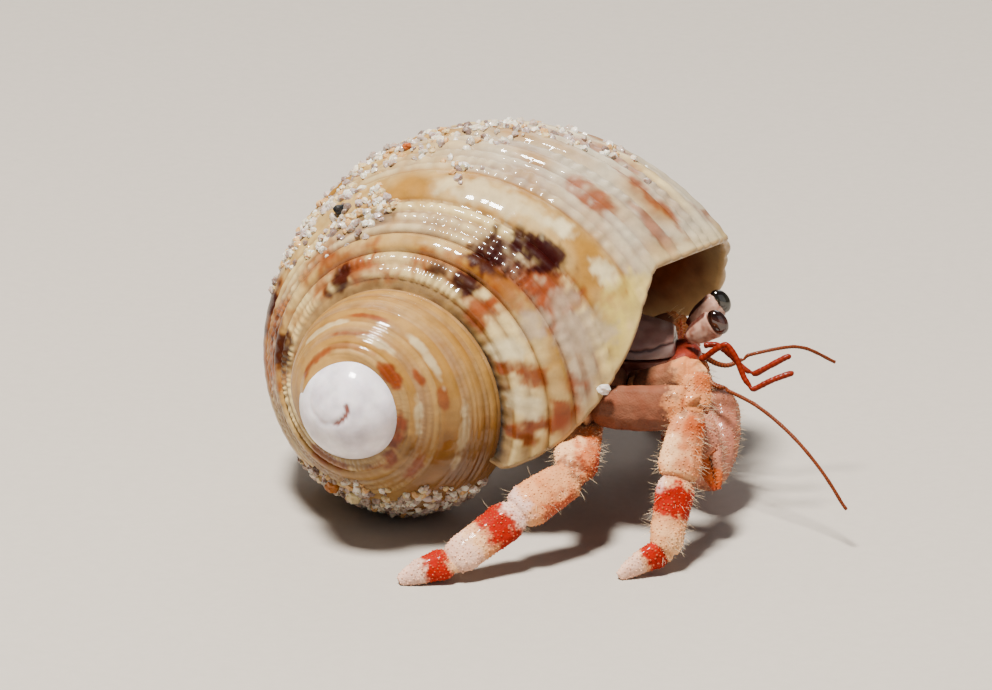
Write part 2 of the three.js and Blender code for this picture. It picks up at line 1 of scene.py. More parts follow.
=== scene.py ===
"""A young strawberry land hermit crab walking in a worn turban shell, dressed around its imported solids."""

import logging
import math
from dataclasses import dataclass, field
from enum import Enum
from typing import Any, Callable, Sequence

import bmesh
import bpy
import numpy as np
from mathutils import Euler, Matrix, Vector, noise


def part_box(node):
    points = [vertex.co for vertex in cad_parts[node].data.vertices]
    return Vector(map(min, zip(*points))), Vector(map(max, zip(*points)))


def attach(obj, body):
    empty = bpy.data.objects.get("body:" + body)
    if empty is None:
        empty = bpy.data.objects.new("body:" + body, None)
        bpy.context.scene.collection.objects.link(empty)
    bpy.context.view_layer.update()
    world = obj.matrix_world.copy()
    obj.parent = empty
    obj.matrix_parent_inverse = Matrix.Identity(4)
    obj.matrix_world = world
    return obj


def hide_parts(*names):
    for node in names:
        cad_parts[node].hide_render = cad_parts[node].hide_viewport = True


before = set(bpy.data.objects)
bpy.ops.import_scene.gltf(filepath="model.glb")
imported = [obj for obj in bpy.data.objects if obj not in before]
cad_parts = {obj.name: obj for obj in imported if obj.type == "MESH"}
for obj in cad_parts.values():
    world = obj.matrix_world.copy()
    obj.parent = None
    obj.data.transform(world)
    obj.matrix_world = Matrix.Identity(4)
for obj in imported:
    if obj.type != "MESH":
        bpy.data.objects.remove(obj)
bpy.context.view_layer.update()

MM = 0.001
BODY = "root"
PIGMENT_DEPTH = 1.75  # the power that turns a colour as seen into its pigment
FIRST_ANGLE = -43.0  # where the section of the shell meets the whorl before, in degrees
LAST_ANGLE = 321.0  # past this an angle of the section counts from FIRST_ANGLE again
SHARP_CORNER = 80.0  # edges sharper than this stay hard on the shell, in degrees
POINTS_OF_BRISTLE = 14
POINTS_OF_GRANULE = 26
POINTS_OF_GRAIN = 42
BAKE_PATCH = 0.003  # how wide a strewn shape's patch is on its map
log = logging.getLogger("hermit_crab")
Array = np.ndarray
Piece = bpy.types.Object
Tree = bpy.types.NodeTree
Socket = bpy.types.NodeSocket
Colour = tuple[float, float, float, float]


# ---------------------------------------------------------------- colours and small sums


def linear(hex_colour: int) -> Colour:
    """A hex colour as the linear RGBA that shaders use."""
    parts = [(hex_colour >> shift & 0xFF) / 255 for shift in (16, 8, 0)]
    return (*(c / 12.92 if c <= 0.04045 else ((c + 0.055) / 1.055) ** 2.4 for c in parts), 1.0)


def tone(hex_colour: int) -> Array:
    """The pigment behind a colour as it looks in bright light, as a linear RGB row: deeper and purer."""
    return np.array(linear(hex_colour)[:3]) ** PIGMENT_DEPTH


def smooth(low: float, high: float, value: Array) -> Array:
    """A soft step from 0 below low to 1 above high."""
    share = np.clip((value - low) / (high - low), 0.0, 1.0)
    return share * share * (3.0 - 2.0 * share)


def unit(vector: Array) -> Array:
    """A vector, or rows of vectors, at length 1."""
    return vector / np.maximum(np.linalg.norm(vector, axis=-1, keepdims=True), 1e-12)


def mottle(points: Array, size: float, seed: float = 0.0, octaves: int = 2) -> Array:
    """Smooth noise at points, from about -1 to 1.

    Args:
        points: Rows of places, in millimetres.
        size: The width of one blotch, in millimetres.
        seed: Moves the pattern.
        octaves: How many finer layers are added.

    Returns:
        One number for each row.
    """
    scaled = points / size + seed
    return np.array([noise.fractal(row, 0.6, 2.0, octaves) for row in scaled.tolist()]) * 1.4


def plain_coat(hex_colour: int, count: int) -> Array:
    """Rows of one colour."""
    return np.tile(tone(hex_colour), (count, 1))


def paint(colours: Array, hex_colour: int, weight: Array) -> Array:
    """Rows of colours moved towards one colour by a weight for each row."""
    return colours + (tone(hex_colour) - colours) * weight[:, None]


# ---------------------------------------------------------------- meshes


def new_object(name: str, data: bpy.types.ID) -> Piece:
    """Makes an object in the scene, unturned and at the origin.

    Args:
        name: Its name.
        data: Its mesh, camera or light.

    Returns:
        The object.
    """
    made = bpy.data.objects.new(name, data)
    bpy.context.scene.collection.objects.link(made)
    return made


def circle(sides: int) -> Array:
    """Evenly spaced angles round a whole circle, in radians."""
    return np.linspace(0.0, 2.0 * math.pi, sides, endpoint=False)


@dataclass
class Skin:
    """A mesh being made: points in millimetres, faces, and what its points carry."""

    points: Array
    faces: list[tuple[int, ...]] | Array
    colours: Array | None = None
    marks: dict[str, Array] = field(default_factory=dict)

    def build(self, name: str) -> Piece:
        """Makes the object, in metres, at the origin.

        Args:
            name: The object's name.

        Returns:
            The new object, shaded smooth.
        """
        mesh = bpy.data.meshes.new(name)
        mesh.from_pydata((self.points * MM).tolist(), [], [tuple(face) for face in self.faces])
        mesh.shade_smooth()
        piece = new_object(name, mesh)
        if self.colours is not None:
            set_coat(piece, self.colours)
        for key, values in self.marks.items():
            set_mark(piece, key, values)
        return piece


def grid_faces(rows: int, columns: int, closed: bool, offset: int = 0) -> list[tuple[int, ...]]:
    """Quads between rows of points, which wrap round where the columns are closed.

    Args:
        rows: How many rows there are.
        columns: How many points each row has.
        closed: Whether the last column joins the first.
        offset: The index of the first point.

    Returns:
        The faces, as index rows.
    """
    faces = []
    for row in range(rows - 1):
        for column in range(columns if closed else columns - 1):
            here = offset + row * columns + column
            beside = offset + row * columns + (column + 1) % columns
            faces.append((here, beside, beside + columns, here + columns))
    return faces


def pole_faces(rows: int, sides: int) -> list[tuple[int, ...]]:
    """Triangles that close both ends of a grid of rings, to the two points that follow the grid.

    Args:
        rows: How many rings there are.
        sides: How many points each ring has.

    Returns:
        The triangles, as index rows.
    """
    count = rows * sides
    faces = []
    for side in range(sides):
        beside = (side + 1) % sides
        faces.append((beside, side, count))
        faces.append((count - sides + side, count - sides + beside, count + 1))
    return faces


def finished(piece: Piece) -> Piece:
    """Turns an object with modifiers into a plain mesh with none.

    Args:
        piece: The object.

    Returns:
        The same object.
    """
    graph = bpy.context.evaluated_depsgraph_get()
    graph.update()
    mesh = bpy.data.meshes.new_from_object(piece.evaluated_get(graph), depsgraph=graph)
    if len(mesh.materials) > 1 and mesh.materials[0] is None:
        mesh.materials.pop(index=0)
        mesh.polygons.foreach_set("material_index", np.zeros(len(mesh.polygons), np.int32))
    piece.modifiers.clear()
    piece.data = mesh
    return piece


def read_rows(items: bpy.types.bpy_prop_collection, key: str, width: int) -> Array:
    """Reads one property of every item of a mesh.

    Args:
        items: The vertices, edges, loops or attribute values.
        key: The property's name.
        width: How many numbers the property has.

    Returns:
        A row of numbers for each item.
    """
    flat = np.zeros(len(items) * width, np.float32)
    items.foreach_get(key, flat)
    return flat.reshape(-1, width).astype(float)


def read_indices(items: bpy.types.bpy_prop_collection, key: str, width: int) -> Array:
    """Reads the indices that every item of a mesh holds.

    Args:
        items: The edges, loops or triangles.
        key: The property's name.
        width: How many indices each item holds.

    Returns:
        A row of indices for each item.
    """
    flat = np.zeros(len(items) * width, np.int32)
    items.foreach_get(key, flat)
    return flat.reshape(-1, width)


def mesh_points(piece: Piece) -> Array:
    """The points of a mesh object, in millimetres."""
    return read_rows(piece.data.vertices, "co", 3) / MM


def set_points(piece: Piece, points: Array) -> None:
    """Moves the points of a mesh object, given in millimetres."""
    piece.data.vertices.foreach_set("co", (points * MM).astype(np.float32).ravel())
    piece.data.update()


def keep_above_floor(piece: Piece) -> None:
    """Lifts the points of a mesh object that are below the floor up to it."""
    set_points(piece, np.maximum(mesh_points(piece), [-np.inf, -np.inf, 0.0]))


def set_coat(piece: Piece, colours: Array) -> None:
    """Writes the colours that a mesh object's points carry.

    Args:
        piece: The object.
        colours: A linear RGB row for each point.
    """
    old = piece.data.color_attributes.get("coat")
    if old:
        piece.data.color_attributes.remove(old)
    layer = piece.data.color_attributes.new("coat", "FLOAT_COLOR", "POINT")
    rgba = np.ones((len(colours), 4), np.float32)
    rgba[:, :3] = np.clip(colours, 0.0, 1.0)
    layer.data.foreach_set("color", rgba.ravel())


def set_mark(piece: Piece, key: str, values: Array) -> None:
    """Writes a number that a mesh object's points carry."""
    layer = piece.data.attributes.get(key) or piece.data.attributes.new(key, "FLOAT", "POINT")
    layer.data.foreach_set("value", np.asarray(values, np.float32))


def hand_over(piece: Piece, slot: str, *nodes: str) -> Piece:
    """Rides a piece on the body and hides the solids that it stands for.

    Args:
        piece: The object.
        slot: Not used.
        *nodes: The solids that it replaces.

    Returns:
        The same object.
    """
    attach(piece, BODY)
    if nodes:
        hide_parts(*nodes)
    log.info("%s: %d faces", piece.name, len(piece.data.polygons))
    return piece


# ---------------------------------------------------------------- finishes


def set_inputs(tree: Tree, node: bpy.types.Node, inputs: dict[str | int, Any]) -> None:
    """Links or sets the inputs of a node.

    Args:
        tree: The tree that the node is in.
        node: The node.
        inputs: A socket to link or a plain value, for each input.
    """
    for key, value in inputs.items():
        if isinstance(value, Socket):
            tree.links.new(value, node.inputs[key])
        else:
            node.inputs[key].default_value = value


def add_node(tree: Tree, kind: str, inputs: dict[str | int, Any], **options: str) -> bpy.types.Node:
    """Adds a node to a tree.

    Args:
        tree: The tree.
        kind: The node's type.
        inputs: A socket to link or a plain value, for each input.
        **options: The node's own options.

    Returns:
        The node.
    """
    node = tree.nodes.new(kind)
    for key, value in options.items():
        setattr(node, key, value)
    set_inputs(tree, node, inputs)
    return node


def shader_noise(tree: Tree, place: Socket, size: float, detail: float = 3.0) -> Socket:
    """A noise of a width in millimetres, as its factor socket."""
    inputs = {"Vector": place, "Scale": 1.0 / (size * MM), "Detail": detail}
    return add_node(tree, "ShaderNodeTexNoise", inputs).outputs["Fac"]


def spread(tree: Tree, source: Socket, low: float, high: float, to: tuple[float, float]) -> Socket:
    """A socket's numbers from low to high, spread over another range."""
    inputs = {"Value": source, "From Min": low, "From Max": high, "To Min": to[0], "To Max": to[1]}
    return add_node(tree, "ShaderNodeMapRange", inputs).outputs["Result"]


def mixed(tree: Tree, kind: str, weight: Socket | float, first: Socket | Colour,
          second: Socket | Colour) -> Socket:
    """Two colours mixed; a weight or a colour may be a socket or a value."""
    inputs = {0: weight, 6: first, 7: second}
    return add_node(tree, "ShaderNodeMix", inputs, data_type="RGBA", blend_type=kind).outputs[2]


class Bump(Enum):
    """The fine relief of a finish."""

    GRAIN = "grain"
    PLAIN = "plain"


@dataclass(frozen=True)
class Finish:
    """A surface that takes its colour from the points' coat, or from one colour."""

    name: str
    roughness: float
    colour: int | None = None
    rough_spread: float = 0.1
    coat: float = 0.0
    coat_roughness: float = 0.08
    subsurface: float = 0.0
    specular: float = 0.25
    relief: Bump = Bump.GRAIN
    relief_depth: float = 0.2
    relief_size: float = 0.12
    fleck: int | None = None
    fleck_share: float = 0.0
    mottled: float = 1.0

    def material(self) -> bpy.types.Material:
        """Builds the material.

        Returns:
            A node material that reads the coat and object coordinates.
        """
        made = bpy.data.materials.get(self.name)
        if made:
            return made
        made = bpy.data.materials.new(self.name)
        made.use_nodes = True
        tree = made.node_tree
        place = tree.nodes.new("ShaderNodeTexCoord").outputs["Object"]
        inputs = {
            "Base Color": self._colour(tree, place), "Roughness": self._roughness(tree, place),
            "Coat Weight": self.coat, "Coat Roughness": self.coat_roughness,
            "Specular IOR Level": self.specular, "Subsurface Weight": self.subsurface,
            "Subsurface Radius": (1.0, 0.45, 0.3), "Subsurface Scale": 0.6 * MM,
        }
        if self.relief is not Bump.PLAIN:
            inputs["Normal"] = self._relief(tree, place)
        set_inputs(tree, tree.nodes["Principled BSDF"], inputs)
        return made

    def _colour(self, tree: Tree, place: Socket) -> Socket:
        """The base colour with its mottling and flecks.

        Args:
            tree: The material's nodes.
            place: The coordinates.

        Returns:
            The base colour.
        """
        if self.colour is None:
            base = add_node(tree, "ShaderNodeAttribute", {}, attribute_name="coat").outputs["Color"]
        else:
            base = linear(self.colour)
        broad = spread(tree, shader_noise(tree, place, 0.9), 0.3, 0.7, (0.0, 1.0))
        shade = mixed(tree, "MIX", broad, (0.84, 0.82, 0.8, 1.0), (1.12, 1.1, 1.08, 1.0))
        result = mixed(tree, "MULTIPLY", self.mottled, base, shade)
        if self.fleck is None:
            return result
        spots = spread(tree, shader_noise(tree, place, 0.1, 2.0), 1.0 - self.fleck_share,
                       1.06 - self.fleck_share, (0.0, 0.8))
        return mixed(tree, "MIX", spots, result, linear(self.fleck))

    def _roughness(self, tree: Tree, place: Socket) -> Socket:
        """Roughness that wanders by rough_spread to each side."""
        limits = (max(self.roughness - self.rough_spread, 0.02), self.roughness + self.rough_spread)
        return spread(tree, shader_noise(tree, place, 0.5), 0.35, 0.65, limits)

    def _relief(self, tree: Tree, place: Socket) -> Socket:
        """Fine bump in a grain of the finish's own size.

        Args:
            tree: The material's nodes.
            place: The coordinates.

        Returns:
            The bumped normal.
        """
        cells = add_node(tree, "ShaderNodeTexVoronoi", {
            "Vector": place, "Scale": 1.0 / (self.relief_size * MM),
        }, feature="SMOOTH_F1")
        height = spread(tree, cells.outputs["Distance"], 0.0, 0.8, (1.0, 0.0))
        bump = add_node(tree, "ShaderNodeBump", {
            "Strength": self.relief_depth, "Distance": 0.05 * MM, "Height": height,
        })
        return bump.outputs["Normal"]


SHELL_FINISH = Finish("shell_worn_turban", 0.46, rough_spread=0.1, coat=0.5, coat_roughness=0.05,
                      specular=0.08, relief_depth=0.12, relief_size=0.2)
DOME_FINISH = Finish("shell_white_apex", 0.35, rough_spread=0.06, coat=0.5, coat_roughness=0.06,
                     subsurface=0.25, relief_depth=0.05, relief_size=0.5)
PLATE_FINISH = Finish("crab_plate", 0.42, rough_spread=0.1, coat=0.25, coat_roughness=0.15, subsurface=0.15,
                      relief_depth=0.25, relief_size=0.16, fleck=0x6A4A44, fleck_share=0.3)
LIMB_FINISH = Finish("crab_limb", 0.52, rough_spread=0.12, coat=0.16, coat_roughness=0.1,
                     specular=0.04, relief_depth=0.45, relief_size=0.11)
SOFT_FINISH = Finish("crab_soft_skin", 0.5, rough_spread=0.1, coat=0.15, subsurface=0.3,
                     relief_depth=0.25, relief_size=0.25)
STALK_FINISH = Finish("crab_eyestalk", 0.36, rough_spread=0.08, coat=0.4, coat_roughness=0.08,
                      subsurface=0.25, relief_depth=0.08, relief_size=0.2)
CORNEA_FINISH = Finish("crab_cornea", 0.06, rough_spread=0.02, coat=1.0, coat_roughness=0.02, specular=0.5,
                       relief_depth=0.05, relief_size=0.05)
FEELER_FINISH = Finish("crab_feeler", 0.5, rough_spread=0.08, coat=0.1, coat_roughness=0.12, specular=0.08,
                       relief=Bump.PLAIN)
HAIR_FINISH = Finish("crab_bristle", 0.5, colour=0xE0C8A4, rough_spread=0.05, relief=Bump.PLAIN)
SAND_FINISH = Finish("coral_sand", 0.4, rough_spread=0.15, coat=0.3, subsurface=0.3, specular=0.4,
                     relief_depth=0.4, relief_size=0.2)


# ---------------------------------------------------------------- things strewn over a skin


@dataclass
class Scatter:
    """Small shapes strewn over a skin by Geometry Nodes.

    The host's "strew" mark thins them out and its "comb" vector says which way each one points.
    Sizes are in millimetres and the density is for a square millimetre.
    """

    name: str
    shape: Piece
    finish: Finish
    density: float
    spacing: float
    size: tuple[float, float]
    seed: int
    lean: float = 0.3

    INPUTS = (
        ("Density", "NodeSocketFloat"), ("Spacing", "NodeSocketFloat"), ("Smallest", "NodeSocketFloat"),
        ("Largest", "NodeSocketFloat"), ("Lean", "NodeSocketFloat"), ("Seed", "NodeSocketInt"),
        ("Shape", "NodeSocketObject"), ("Material", "NodeSocketMaterial"),
    )

    def build(self, host: Piece) -> Piece:
        """Strews the shapes over a host.

        Args:
            host: A mesh object with the strew and comb marks.

        Returns:
            A plain mesh of the shapes alone, which carries the host's own marks.
        """
        piece = new_object(self.name, host.data.copy())
        tree = self._tree()
        values = {
            "Density": self.density / MM ** 2, "Spacing": self.spacing * MM, "Smallest": self.size[0],
            "Largest": self.size[1], "Lean": self.lean, "Seed": self.seed, "Shape": self.shape,
            "Material": self.finish.material(),
        }
        modifier = piece.modifiers.new(self.name, "NODES")
        modifier.node_group = tree
        for item in tree.interface.items_tree:
            if item.name in values and item.in_out == "INPUT":
                modifier[item.identifier] = values[item.name]
        return finished(piece)

    def _tree(self) -> Tree:
        """The node group: points on faces, a shape on each, made real.

        Returns:
            The node group.
        """
        tree = bpy.data.node_groups.new(self.name, "GeometryNodeTree")
        tree.interface.new_socket("Geometry", in_out="INPUT", socket_type="NodeSocketGeometry")
        for label, kind in self.INPUTS:
            tree.interface.new_socket(label, in_out="INPUT", socket_type=kind)
        tree.interface.new_socket("Geometry", in_out="OUTPUT", socket_type="NodeSocketGeometry")
        start = tree.nodes.new("NodeGroupInput").outputs
        points = add_node(tree, "GeometryNodeDistributePointsOnFaces", {
            "Mesh": start["Geometry"], "Distance Min": start["Spacing"], "Density Max": start["Density"],
            "Seed": start["Seed"], "Density Factor": self._named(tree, "strew", "FLOAT"),
        }, distribute_method="POISSON")
        aim = add_node(tree, "FunctionNodeAlignRotationToVector", {
            "Vector": self._named(tree, "comb", "FLOAT_VECTOR"),
        }, axis="Z")
        low, high = (add_node(tree, "ShaderNodeVectorMath", {
            0: (end, end, 3.14 * end), "Scale": start["Lean"],
        }, operation="SCALE") for end in (-1.0, 1.0))
        sway = add_node(tree, "FunctionNodeRandomValue", {
            "Min": low.outputs["Vector"], "Max": high.outputs["Vector"], "Seed": start["Seed"],
        }, data_type="FLOAT_VECTOR")
        turn = add_node(tree, "FunctionNodeRotateRotation", {
            "Rotation": aim.outputs["Rotation"], "Rotate By": sway.outputs["Value"],
        }, rotation_space="LOCAL")
        size = add_node(tree, "FunctionNodeRandomValue", {
            2: start["Smallest"], 3: start["Largest"], "Seed": start["Seed"],
        })
        shape = add_node(tree, "GeometryNodeObjectInfo", {"Object": start["Shape"]})
        copies = add_node(tree, "GeometryNodeInstanceOnPoints", {
            "Points": points.outputs["Points"], "Instance": shape.outputs["Geometry"],
            "Rotation": turn.outputs["Rotation"], "Scale": size.outputs[1],
        })
        real = add_node(tree, "GeometryNodeRealizeInstances", {"Geometry": copies.outputs["Instances"]})
        dressed = add_node(tree, "GeometryNodeSetMaterial", {
            "Geometry": real.outputs["Geometry"], "Material": start["Material"],
        })
        add_node(tree, "NodeGroupOutput", {0: dressed.outputs["Geometry"]})
        return tree

    def _named(self, tree: Tree, key: str, kind: str) -> Socket:
        """A named mark of the host as a socket."""
        node = add_node(tree, "GeometryNodeInputNamedAttribute", {"Name": key}, data_type=kind)
        return node.outputs["Attribute"]


def comb(piece: Piece, ways: Array) -> None:
    """Writes which way the shapes strewn over a piece point."""
    layer = piece.data.attributes.get("comb") or piece.data.attributes.new("comb", "FLOAT_VECTOR", "POINT")
    layer.data.foreach_set("vector", ways.astype(np.float32).ravel())


def point_normals(piece: Piece) -> Array:
    """The normals at a mesh object's points."""
    return read_rows(piece.data.vertex_normals, "vector", 3)


def coat_of(piece: Piece) -> Array:
    """The colours that a mesh object's points carry."""
    return read_rows(piece.data.attributes["coat"].data, "color", 4)[:, :3]


def mark_of(piece: Piece, key: str) -> Array:
    """A number that a mesh object's points carry."""
    return read_rows(piece.data.attributes[key].data, "value", 1)[:, 0]


# ---------------------------------------------------------------- shell


@dataclass(frozen=True)
class Cord:
    """A ridge that runs round the shell at one angle of its section, in degrees."""

    angle: float
    half_width: float
    rise: float
    beads: float
    colour: int


@dataclass(frozen=True)
class Patch:
    """A blotch of colour on the shell, centred at a turn and an angle of the section."""

    turn: float
    angle: float
    half_turn: float
    half_angle: float
    colour: int
    strength: float = 0.9


@dataclass(frozen=True)
class Drift:
    """A place where sand is stuck to the shell, centred at a turn and an angle of the section."""

    turn: float
    angle: float
    half_turn: float
    half_angle: float
    strength: float


def ellipse(spot: Patch | Drift, turn: Array, angle: Array) -> Array:
    """How far points are from the middle of a spot: 1 on its edge, and as the square beyond."""
    across = (turn - spot.turn) / spot.half_turn
    return across ** 2 + ((angle - spot.angle) / spot.half_angle) ** 2


GOLD = 0xB6965A
LILAC = 0xC2B4A2
CREAM = 0xDCCCA4
GROOVE_AMBER_AND_SHADE = 0x94683C
ORANGE = 0xA2622C
DARK = 0x5A1C14
LEMON = 0xD4C688
PALE_AND_HIGHLIGHT = 0xDCD2B6
MILK = 0xC9C7BE
TAN = 0xAE8C58
STRAW = 0xC8AC76
SUTURE_SHADE_BROWN = 0x6A3818
SUTURE_SHADE_LINE = 0x30180E
PAINTED_SHADE_BROWN = 0x7E4C28
APEX_WHITE = 0xEDE8EA
LINING_PALE = 0xCDB896
LINING_WARM_SHADE = 0x9C6C50
LINING_DEEP_SHADE = 0x6A4630
DOME_WHITE = 0xF0ECEE
DOME_GREY = 0xDCD6DC
DOME_STAIN = 0xA0603A
PILLAR_PALE = 0xE8DCC8
PILLAR_WARM = 0xC9A27C

CORDS = (
    Cord(-35.6, 2.5, 0.75, 0.5, CREAM), Cord(-30.4, 2.3, 0.75, 0.55, CREAM),
    Cord(-24.0, 3.6, 1.0, 0.1, GOLD), Cord(-18.2, 2.0, 0.7, 0.6, LILAC), Cord(-13.6, 2.0, 0.7, 0.6, LILAC),
    Cord(-9.0, 2.0, 0.75, 0.5, CREAM), Cord(1.0, 7.4, 1.0, 0.03, GOLD), Cord(10.4, 1.9, 0.7, 0.6, LILAC),
    Cord(14.6, 1.9, 0.7, 0.6, LILAC), Cord(18.6, 1.8, 0.7, 0.6, LILAC), Cord(23.6, 3.0, 0.95, 0.15, GOLD),
    Cord(29.2, 2.2, 0.7, 0.6, LILAC), Cord(36.0, 3.6, 1.0, 0.12, GOLD), Cord(42.2, 2.2, 0.75, 0.5, LILAC),
    Cord(47.2, 2.2, 0.75, 0.5, LILAC), Cord(53.4, 3.4, 1.0, 0.15, CREAM), Cord(60.0, 2.4, 0.7, 0.5, LILAC),
    Cord(67.6, 4.2, 1.0, 0.12, GOLD), Cord(75.6, 2.8, 0.7, 0.5, LILAC), Cord(84.0, 4.4, 0.95, 0.15, GOLD),
    Cord(93.0, 3.2, 0.7, 0.4, CREAM), Cord(102.0, 4.6, 0.9, 0.15, GOLD), Cord(112.0, 3.6, 0.7, 0.4, CREAM),
    Cord(122.0, 5.0, 0.85, 0.15, GOLD), Cord(133.0, 4.0, 0.6, 0.3, CREAM), Cord(145.0, 5.4, 0.7, 0.1, GOLD),
)

PATCHES = (
    Patch(-0.150, -22, 0.04, 10, ORANGE, 0.6), Patch(-0.124, -14, 0.024, 7, ORANGE, 0.9),
    Patch(-0.136, -35, 0.022, 5, ORANGE, 0.9), Patch(-0.30, -34, 0.06, 5, ORANGE, 0.7),
    Patch(-0.35, -29, 0.05, 8, ORANGE, 0.7), Patch(-0.50, -12, 0.06, 22, ORANGE, 0.7),
    Patch(-0.20, -29, 0.05, 5, ORANGE, 0.6), Patch(-0.38, -20, 0.03, 6, ORANGE, 0.5),
    Patch(-0.178, -21, 0.018, 5, DARK), Patch(-0.170, -15, 0.024, 6, DARK),
    Patch(-0.162, -9, 0.028, 5.5, DARK, 0.95), Patch(-0.148, -6, 0.016, 5, DARK, 0.95),
    Patch(-0.172, -30, 0.017, 5, DARK, 0.95), Patch(-0.208, -32, 0.013, 4, DARK, 0.85),
    Patch(-0.348, -35, 0.022, 5, DARK, 0.9), Patch(-0.31, -12, 0.02, 4, DARK, 0.6),
    Patch(-0.48, 4, 0.03, 12, DARK, 0.95), Patch(-0.496, -28, 0.03, 12, DARK, 0.9),
    Patch(-0.105, -10, 0.008, 4, ORANGE, 0.7), Patch(-0.092, -20, 0.008, 3, ORANGE, 0.8),
    Patch(-0.064, -37, 0.011, 3.5, ORANGE), Patch(-0.048, -31, 0.012, 4.5, ORANGE),
    Patch(-0.036, -19, 0.012, 3.5, ORANGE, 0.8), Patch(0.0, -29, 0.01, 6, ORANGE),
    Patch(-0.012, -23, 0.012, 5, ORANGE), Patch(0.016, -36, 0.01, 5, ORANGE),
    Patch(-0.145, 38, 0.03, 3, ORANGE, 0.8), Patch(-0.12, 29, 0.025, 3, ORANGE, 0.7),
    Patch(-0.2, 47, 0.03, 4, ORANGE, 0.6), Patch(-0.17, 20, 0.02, 4, ORANGE, 0.8),
    # The first pale patch below is partly the cream of the broad cord and partly a painted highlight on it;
    # the other pale patches are white blotches.
    Patch(-0.215, 0, 0.045, 5, PALE_AND_HIGHLIGHT, 0.6), Patch(-0.16, 3, 0.01, 3.5, PALE_AND_HIGHLIGHT, 0.9),
    Patch(-0.116, 3, 0.013, 3.5, PALE_AND_HIGHLIGHT, 0.9), Patch(-0.016, -34, 0.012, 5, PALE_AND_HIGHLIGHT, 0.9),
    Patch(-0.084, -35, 0.014, 5, PALE_AND_HIGHLIGHT, 0.9), Patch(-0.03, -36, 0.01, 4, PALE_AND_HIGHLIGHT, 0.8),
    Patch(-0.088, 5, 0.02, 8, LEMON, 0.7), Patch(-0.068, -3, 0.022, 7, LEMON, 0.8),
    Patch(-0.096, 11, 0.012, 6, LEMON, 0.6), Patch(-0.11, -12, 0.01, 4, LILAC, 0.7),
    Patch(-0.08, -12, 0.018, 8, LILAC, 0.8), Patch(-0.1, -24, 0.014, 5, LILAC, 0.8),
    Patch(-0.27, -31, 0.02, 4, CREAM, 0.6), Patch(-0.03, -4, 0.02, 8, CREAM, 0.5),
)

SPIRE_PATCHES = (
    Patch(-1.24, -1, 0.05, 2.5, ORANGE, 0.8), Patch(-1.268, -18, 0.05, 3, ORANGE, 0.75),
    Patch(-1.4, -34, 0.08, 5, ORANGE, 0.85), Patch(-1.26, -30, 0.08, 3, ORANGE, 0.5),
    Patch(-1.1, -32, 0.05, 5, ORANGE, 0.95), Patch(-1.08, -15, 0.02, 3.5, ORANGE, 0.85),
    Patch(-1.036, -4, 0.018, 4, ORANGE, 0.7), Patch(-0.96, -34, 0.045, 5, ORANGE, 0.95),
    Patch(-0.89, -13, 0.03, 3.5, ORANGE, 0.8), Patch(-0.86, -30, 0.04, 5, ORANGE, 0.9),
    Patch(-0.71, -31, 0.05, 5, ORANGE, 0.8), Patch(-0.92, -26, 0.03, 5, DARK, 0.4),
    Patch(-1.12, -2, 0.05, 3, PALE_AND_HIGHLIGHT, 0.6), Patch(-1.2, -20, 0.05, 3, PALE_AND_HIGHLIGHT, 0.5),
    Patch(-0.97, 10, 0.05, 3.5, PALE_AND_HIGHLIGHT, 0.5), Patch(-1.0, -21, 0.05, 3, PALE_AND_HIGHLIGHT, 0.6),
    Patch(-1.35, -6, 0.06, 3, PALE_AND_HIGHLIGHT, 0.5), Patch(-0.8, -36, 0.1, 5, DARK, 0.45),
)

# How far from the middle of the apex dome, in millimetres, and the angle round it, in degrees.
FIRST_SUTURE = (
    (1.36, -99.0), (1.3, -75.0), (0.98, -43.0), (0.68, 10.0), (0.95, 93.0), (1.9, 145.0), (2.75, 197.0),
)


